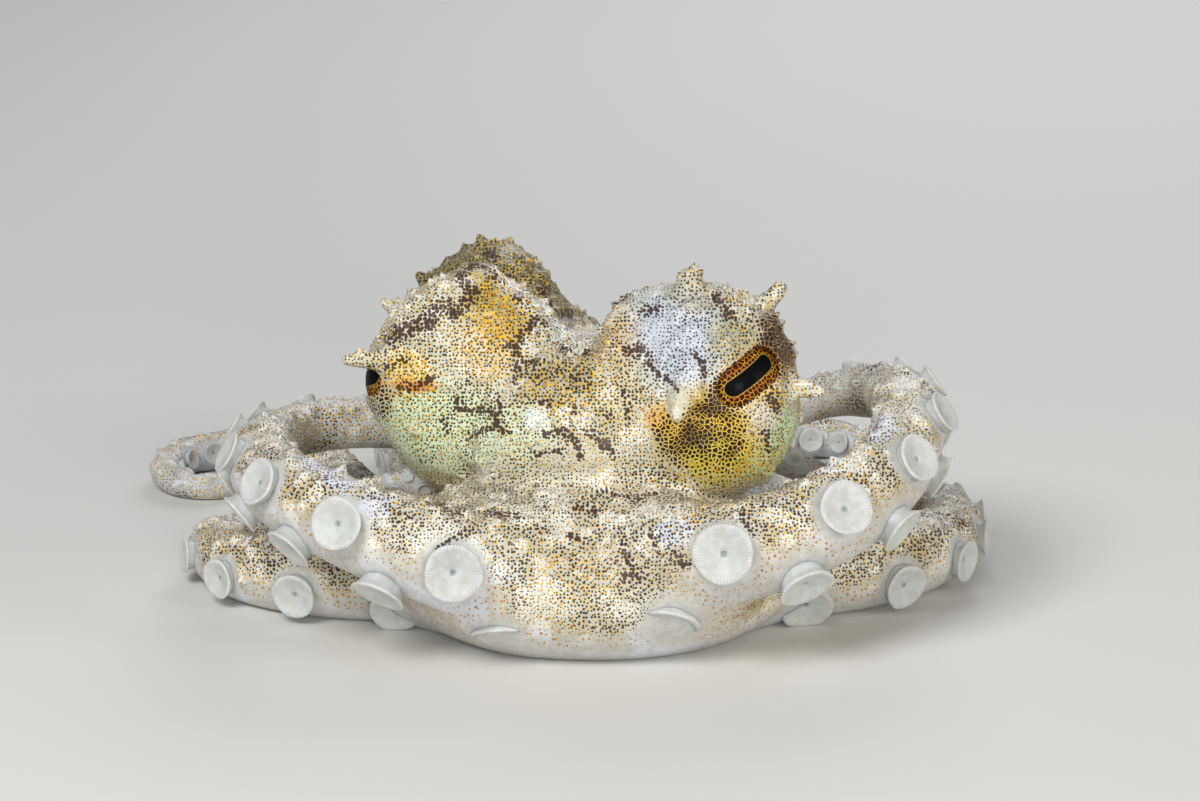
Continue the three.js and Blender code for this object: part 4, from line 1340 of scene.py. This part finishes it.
sheet_axes = np.stack([SHEET_RIGHT, SHEET_UP, SHEET_OUT])
facing = np.abs(form_normals @ sheet_axes.T) * SHEET_FAVOUR
facing = facing + 0.08 * np.stack([noise(skin_points, 0.7, shift) for shift in (1.3, 4.9, 7.1)], 1)
pick = facing[quads].mean(1).argmax(1)
flat = (skin_points @ sheet_axes.T)[quads]
corners = np.zeros((len(all_quads), 4, 3))
for away, (right, up) in enumerate(((1, 2), (0, 2), (0, 1))):
    mine = np.flatnonzero(pick == away)
    corners[mine, :, 0] = flat[mine][:, :, right] + SHEET_APART * away
    corners[mine, :, 1] = flat[mine][:, :, up]
write_attribute("dots", "FLOAT_VECTOR", corners, "CORNER")
skin = bpy.data.objects.new("skin", skin_mesh)
bpy.context.scene.collection.objects.link(skin)
flesh_nodes = [name for name in frame["nodes"] if not name.startswith("eye")]
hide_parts(*flesh_nodes)
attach(skin, "root")
print("skin stands for", len(flesh_nodes), "nodes,", len(all_quads), "quads")

# %% [markdown]
# ## Nodes and materials
# A material is a net of small steps. One function adds a step, sets it up, links what feeds it and
# hands back the output that the next step needs, so that each finish below reads as a list of layers.
# Places are turned to millimetres first, so every scale in a material is a real one.

# %% Nodes and materials
BELOW, ABOVE, MIXED = 6, 7, 2  # a Mix node's two colour inputs, and its colour output


def add(tree, kind, *values, named=None, output=0, **settings):
    """A new node. Its inputs get values or links, in order or by name; gives one of its outputs."""
    node = tree.nodes.new("ShaderNode" + kind)
    for key, value in settings.items():
        setattr(node, key, value)
    for key, value in [*enumerate(values), *(named or {}).items()]:
        socket = node.inputs[key]
        if isinstance(value, bpy.types.NodeSocket):
            tree.links.new(value, socket)
        elif socket.type == "RGBA":
            socket.default_value = (*value, 1)
        else:
            socket.default_value = value
    return node.outputs[output]


def new_material(name):
    """A material with its tree, and the inputs of its shader."""
    material = bpy.data.materials.new(name)
    material.use_nodes = True
    tree = material.node_tree
    tree.nodes.clear()
    shader = add(tree, "BsdfPrincipled")
    tree.links.new(shader, tree.nodes.new("ShaderNodeOutputMaterial").inputs["Surface"])
    return material, tree, shader.node.inputs


def millimetres(tree):
    """Places in the object's own space, in mm."""
    own = add(tree, "TexCoord", output=3)
    return add(tree, "VectorMath", own, named={"Scale": 1000.0}, operation="SCALE")


print("ready for", bpy.app.version_string)

# %% [markdown]
# ## Layers of pigment bags
# A layer of bags is a flat Voronoi pattern: seeds that are nearly evenly spread, each with a round dot
# whose radius is a share of the spacing. Each bag gets its own width and shade by chance. Widening the
# dots until they touch makes a vein, just as the muscles round the bags do.

# %% Layers of pigment bags
EVEN = 0.75  # how far seeds stray from an even net: 0 not at all, 1 as far as they can
BAG_EDGE = (-0.05, 0.06)  # how softly a bag ends, in shares of the spacing
SOME_WIDE = (0.65, 1.0)  # the share of bags, by chance, that show the second colour


def bag_layer(tree, ground, sheet_place, spacing, size, common, rare, strength):
    """Round bags laid over a ground colour."""
    seeds = {"Vector": sheet_place, "Scale": 1 / spacing, "Randomness": EVEN}
    bag = add(tree, "TexVoronoi", named=seeds, voronoi_dimensions="2D").node.outputs
    chance = add(tree, "SeparateColor", bag["Color"]).node.outputs
    spread = add(tree, "Math", chance[1], 0.5, 0.75, operation="MULTIPLY_ADD")
    radius = add(tree, "Math", size, spread, operation="MULTIPLY")
    inside = add(tree, "Math", radius, bag["Distance"], operation="SUBTRACT")
    mask = add(tree, "MapRange", inside, *BAG_EDGE, interpolation_type="SMOOTHSTEP")
    share = add(tree, "Math", mask, strength, operation="MULTIPLY")
    second = add(tree, "MapRange", chance[0], *SOME_WIDE, interpolation_type="SMOOTHSTEP")
    shades = {BELOW: common, ABOVE: rare}
    shade = add(tree, "Mix", second, named=shades, output=MIXED, data_type="RGBA")
    layers = {BELOW: ground, ABOVE: shade}
    return add(tree, "Mix", share, named=layers, output=MIXED, data_type="RGBA")


print("bags stray by", EVEN)

# %% [markdown]
# ## Skin: reflecting cells and golden bags
# Octopus skin is thin, wet and a little translucent. Its deepest layer is the ground colour that was
# laid above, mottled here and freckled with tiny white glints. Over it lie golden bags 0.18 mm apart,
# from lemon to orange, and round the suckers wider amber ones, 0.23 mm apart.

# %% Skin: reflecting cells and golden bags
GOLD_SPACING = 0.18  # mm
AMBER_SPACING = 0.23
MOTTLE_SCALE, FINE_SCALE = 3.0, 11.0  # bumps per mm

flesh_material, tree, finish = new_material("octopus_skin")
place = millimetres(tree)
wander = add(tree, "TexNoise", named={"Vector": place, "Scale": MOTTLE_SCALE, "Detail": 2.0})
fine = add(tree, "TexNoise", named={"Vector": place, "Scale": FINE_SCALE, "Detail": 3.0})
attribute = {
    name: add(tree, "Attribute", attribute_name=name).node.outputs
    for name in ("tint", "brown", "gold", "amber", "net", "bare", "disc", "dots")
}
on_sheet = attribute["dots"]["Vector"]
bare_share = attribute["bare"]["Fac"]

mottle = add(tree, "MapRange", wander, 0.3, 0.7, interpolation_type="SMOOTHSTEP")
mottle = add(tree, "Math", mottle, 0.3, operation="MULTIPLY")
layers = {BELOW: attribute["tint"]["Color"], ABOVE: linear("#C4BDA6")}
ground = add(tree, "Mix", mottle, named=layers, output=MIXED, data_type="RGBA", blend_type="MULTIPLY")
glints = add(tree, "MapRange", fine, 0.56, 0.68, interpolation_type="SMOOTHSTEP")
fewer_on_bare = add(tree, "Math", bare_share, -0.3, 0.4, operation="MULTIPLY_ADD")
glints = add(tree, "Math", glints, fewer_on_bare, operation="MULTIPLY")
layers = {BELOW: ground, ABOVE: linear("#F9F9F4")}
ground = add(tree, "Mix", glints, named=layers, output=MIXED, data_type="RGBA")

gold = attribute["gold"]["Fac"]
amber = attribute["amber"]["Fac"]
lemon, orange = linear("#E0B01E"), linear("#CC8428")
honey, rust = linear("#C28E2E"), linear("#A5572B")
coloured = bag_layer(tree, ground, on_sheet, GOLD_SPACING, gold, lemon, orange, 0.9)
coloured = bag_layer(tree, coloured, on_sheet, AMBER_SPACING, amber, honey, rust, 0.85)
print("golden bags", GOLD_SPACING, "mm apart, amber ones", AMBER_SPACING, "mm")

# %% [markdown]
# ## Skin: brown bags and the net
# The brown bags lie on top, 0.07 mm wide and 0.135 mm apart, nearly black when small and umber where
# they are pulled wide. Under the left eye they are so wide that only the yellow lines between them
# show: a Voronoi pattern of the distance to the nearest edge, whose lines are narrow in the middle of
# the patch and wider towards its rim.

# %% Skin: brown bags and the net
BROWN_SPACING = 0.135  # mm
NET_SPACING = 0.155
LINE_WIDE, LINE_NARROWS = 0.36, 0.33  # half a net line, in shares of the spacing

net_share = attribute["net"]["Fac"]
cells = {"Vector": on_sheet, "Scale": 1 / NET_SPACING, "Randomness": 1.0}
edge_away = add(tree, "TexVoronoi", named=cells, voronoi_dimensions="2D", feature="DISTANCE_TO_EDGE")
line = add(tree, "Math", net_share, -LINE_NARROWS, LINE_WIDE, operation="MULTIPLY_ADD")
off_line = add(tree, "Math", edge_away, line, operation="SUBTRACT")
net_dark = add(tree, "MapRange", off_line, -0.03, 0.04, interpolation_type="SMOOTHSTEP")
layers = {BELOW: coloured, ABOVE: linear("#2C1710")}
netted = add(tree, "Mix", net_dark, named=layers, output=MIXED, data_type="RGBA")
in_net = add(tree, "MapRange", net_share, 0.02, 0.1, interpolation_type="SMOOTHSTEP")

brown = attribute["brown"]["Fac"]
umber = linear("#3A1D11")
pulled_wide = add(tree, "MapRange", brown, 0.34, 0.5, interpolation_type="SMOOTHSTEP")
shades = {BELOW: linear("#17130D"), ABOVE: umber}
bag_shade = add(tree, "Mix", pulled_wide, named=shades, output=MIXED, data_type="RGBA")
dotted = bag_layer(tree, coloured, on_sheet, BROWN_SPACING, brown, bag_shade, umber, 0.95)
layers = {BELOW: dotted, ABOVE: netted}
coloured = add(tree, "Mix", in_net, named=layers, output=MIXED, data_type="RGBA")
print("brown bags", BROWN_SPACING, "mm apart")

# %% [markdown]
# ## Skin: pleats of the cups, and the wet surface
# Fine pleats run from the rim of a sucker to its middle; the place across the cup gives their angle.
# Light enters the pale flesh and comes out close by, which keeps the shadows in its folds soft, and
# more so where it is bare. Wet tissue has an IOR of 1.38, and a film of water over it, at 1.33, adds
# a thin shine.

# %% Skin: pleats of the cups, and the wet surface
PLEATS = 52

disc = attribute["disc"]["Vector"]
across_cup = add(tree, "SeparateXYZ", disc).node.outputs
turn = add(tree, "Math", across_cup[1], across_cup[0], operation="ARCTAN2")
turns = add(tree, "Math", turn, float(PLEATS), operation="MULTIPLY")
pleats = add(tree, "Math", turns, operation="SINE")
from_hub = add(tree, "VectorMath", disc, output=1, operation="LENGTH")
off_hub = add(tree, "MapRange", from_hub, 0.1, 0.4, interpolation_type="SMOOTHSTEP")
pleats = add(tree, "Math", pleats, off_hub, operation="MULTIPLY")
ridges_only = add(tree, "Math", pleats, 0.0, operation="MAXIMUM")
paler = add(tree, "Math", ridges_only, 0.22, operation="MULTIPLY")
layers = {BELOW: coloured, ABOVE: linear("#F7F5F3")}
coloured = add(tree, "Mix", paler, named=layers, output=MIXED, data_type="RGBA")

grainy = add(tree, "Math", fine, 0.6, operation="MULTIPLY")
relief = add(tree, "Math", pleats, 0.15, grainy, operation="MULTIPLY_ADD")
bump = add(tree, "Bump", named={"Height": relief, "Strength": 0.6, "Distance": 0.03 * MM})
through = add(tree, "Math", bare_share, 0.6, 0.06, operation="MULTIPLY_ADD")
tree.links.new(coloured, finish["Base Color"])
tree.links.new(bump, finish["Normal"])
tree.links.new(through, finish["Subsurface Weight"])
finish["Subsurface Radius"].default_value = (1.0, 0.8, 0.65)
finish["Subsurface Scale"].default_value = 0.35 * MM
finish["Roughness"].default_value = 0.46
finish["IOR"].default_value = 1.38
finish["Coat Weight"].default_value = 0.18
finish["Coat Roughness"].default_value = 0.22
finish["Coat IOR"].default_value = 1.33
skin_mesh.materials.append(flesh_material)
print("skin nodes:", len(tree.nodes))

# %% [markdown]
# ## Eyes
# The pupil is a black slit with round ends. Round it the iris is orange and gold under a net of brown
# bags, with a thin pale rim at the slit. Skin lies close round the ball and shades it, so the clear
# cornea over it hardly shines: the ball's coat is thin.

# %% Eyes
PUPIL_LONG, PUPIL_WIDE = 2.2, 0.63  # mm
PUPIL_BOW = 0.06  # the slit bends a little
IRIS_CELL = 0.16

iris_material, tree, finish = new_material("octopus_eye")
place = millimetres(tree)
along, across, out = add(tree, "SeparateXYZ", place).node.outputs
squared = add(tree, "Math", along, 2.0, operation="POWER")
bow = add(tree, "Math", squared, PUPIL_BOW, -PUPIL_BOW / 3, operation="MULTIPLY_ADD")
across = add(tree, "Math", across, bow, operation="SUBTRACT")
past = add(tree, "Math", along, operation="ABSOLUTE")
past = add(tree, "Math", past, (PUPIL_LONG - PUPIL_WIDE) / 2, operation="SUBTRACT")
past = add(tree, "Math", past, 0.0, operation="MAXIMUM")
from_line = add(tree, "CombineXYZ", past, across)
from_line = add(tree, "VectorMath", from_line, output=1, operation="LENGTH")
off_pupil = add(tree, "Math", from_line, PUPIL_WIDE / 2, operation="SUBTRACT")

cells = {"Vector": place, "Scale": 1 / IRIS_CELL, "Randomness": EVEN}
edge_away = add(tree, "TexVoronoi", named=cells, voronoi_dimensions="2D", feature="DISTANCE_TO_EDGE")
in_cell = add(tree, "MapRange", edge_away, 0.03, 0.1, interpolation_type="SMOOTHSTEP")
patchy = add(tree, "TexNoise", named={"Vector": place, "Scale": 2.2, "Detail": 2.0})
patchy = add(tree, "MapRange", patchy, 0.4, 0.62, interpolation_type="SMOOTHSTEP")
shades = {BELOW: linear("#EBB02E"), ABOVE: linear("#DD7A1C")}
lines = add(tree, "Mix", patchy, named=shades, output=MIXED, data_type="RGBA")
layers = {BELOW: lines, ABOVE: linear("#3A1C0F")}
iris = add(tree, "Mix", in_cell, named=layers, output=MIXED, data_type="RGBA")
past_rim = add(tree, "MapRange", off_pupil, 0.0, 0.025, interpolation_type="SMOOTHSTEP")
layers = {BELOW: linear("#C7A552"), ABOVE: iris}
iris = add(tree, "Mix", past_rim, named=layers, output=MIXED, data_type="RGBA")
past_pupil = add(tree, "MapRange", off_pupil, -0.02, 0.005, interpolation_type="SMOOTHSTEP")
layers = {BELOW: linear("#050507"), ABOVE: iris}
colour = add(tree, "Mix", past_pupil, named=layers, output=MIXED, data_type="RGBA")
tree.links.new(colour, finish["Base Color"])
finish["Roughness"].default_value = 0.5
finish["Specular IOR Level"].default_value = 0.12
finish["IOR"].default_value = 1.34
finish["Coat Weight"].default_value = 0.05
finish["Coat Roughness"].default_value = 0.06
finish["Coat IOR"].default_value = 1.34
print("pupils", PUPIL_LONG, "by", PUPIL_WIDE, "mm")

# %% [markdown]
# ## Eyeballs
# Each ball is a mesh of rings whose own z axis looks out along the eye and whose x axis runs along
# the slit, so one material draws both pupils. It stays a piece of its own inside the lids.

# %% Eyeballs
BALL_RINGS, BALL_SIDES = 40, 72


def ball_mesh(name, radius, rings, sides):
    """A ball of quads whose poles lie along its own z axis."""
    rise = np.linspace(-math.pi / 2, math.pi / 2, rings + 1)[1:-1]
    turn = np.linspace(0, 2 * math.pi, sides, endpoint=False)
    x = np.cos(rise)[:, None] * np.cos(turn)
    y = np.cos(rise)[:, None] * np.sin(turn)
    z = np.sin(rise)[:, None] * np.ones(sides)
    shell = np.stack([x, y, z], -1).reshape(-1, 3) * radius
    points = [(0, 0, -radius), *shell.tolist(), (0, 0, radius)]
    top = 1 + (rings - 2) * sides
    faces = []
    for i in range(sides):
        j = (i + 1) % sides
        faces.append((0, 1 + j, 1 + i))
        for low in range(1, top, sides):
            faces.append((low + i, low + j, low + sides + j, low + sides + i))
        faces.append((top + i, top + j, len(points) - 1))
    mesh = bpy.data.meshes.new(name)
    mesh.from_pydata(points, [], faces)
    mesh.shade_smooth()
    return mesh


for side, name in ((1, "eye_left"), (-1, "eye_right")):
    middle, axes = eyes[side]
    eye = bpy.data.objects.new(name + "_ball", ball_mesh(name, EYE_RADIUS * MM, BALL_RINGS, BALL_SIDES))
    eye.data.materials.append(iris_material)
    turn = Matrix(axes.tolist()).to_4x4()
    eye.matrix_world = Matrix.Translation(Vector(middle) * MM) @ turn
    bpy.context.scene.collection.objects.link(eye)
    bpy.context.view_layer.update()
    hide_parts(name)
    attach(eye, "root")
    print(name, "faces", [round(float(v), 2) for v in axes[:, 2]])

# %% [markdown]
# ## Floor and light
# A plain pale floor, far wider than the frame, and four soft panels: the key above on the left, one
# low in front that fills the cheeks, one on the right, and a cool one behind for the edges.

# %% Floor and light
FLOOR_HALF = 2  # m
AIM = Vector((0, 0, 6))  # mm, where the panels face
WORLD_LIGHT = 0.24

floor_mesh = bpy.data.meshes.new("floor")
floor_corners = [(x * FLOOR_HALF, y * FLOOR_HALF, 0) for x, y in ((-1, -1), (1, -1), (1, 1), (-1, 1))]
floor_mesh.from_pydata(floor_corners, [], [(0, 1, 2, 3)])
floor = bpy.data.objects.new("floor", floor_mesh)
bpy.context.scene.collection.objects.link(floor)
floor_material, tree, finish = new_material("matt_pale_floor")
finish["Base Color"].default_value = (*linear("#D9D7D2"), 1)
finish["Roughness"].default_value = 0.8
floor_mesh.materials.append(floor_material)


def panel(name, place, size, power, colour):
    """A soft square light that faces the animal."""
    light = bpy.data.lights.new(name, "AREA")
    light.shape = "SQUARE"
    light.size = size * MM
    light.energy = power
    light.color = linear(colour)
    holder = bpy.data.objects.new(name, light)
    holder.location = Vector(place) * MM
    holder.rotation_euler = (AIM - Vector(place)).to_track_quat("-Z", "Y").to_euler()
    bpy.context.scene.collection.objects.link(holder)


# name: (place in mm, size in mm, power in watts, colour)
PANELS = {
    "key_panel": ((-70, -110, 130), 70, 0.23, "#FCFEFF"),
    "front_panel": ((30, -190, 45), 60, 0.13, "#FBFFFD"),
    "side_panel": ((130, -60, 60), 70, 0.06, "#FFFAF0"),
    "back_panel": ((30, 130, 90), 80, 0.08, "#EEF4FF"),
}
for name, facts in PANELS.items():
    panel(name, *facts)
world = bpy.data.worlds.new("pale_room")
world.use_nodes = True
background = world.node_tree.nodes["Background"]
background.inputs["Color"].default_value = (*linear("#E6E6E7"), 1)
background.inputs["Strength"].default_value = WORLD_LIGHT
bpy.context.scene.world = world
floor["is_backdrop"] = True
print("panels:", ", ".join(PANELS))

# %% [markdown]
# ## Measure the size
# The box round all that is shown is measured; the skin should stay inside the box of the solids, give or
# take its warts.

# %% Measure the size
import json

low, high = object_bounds()
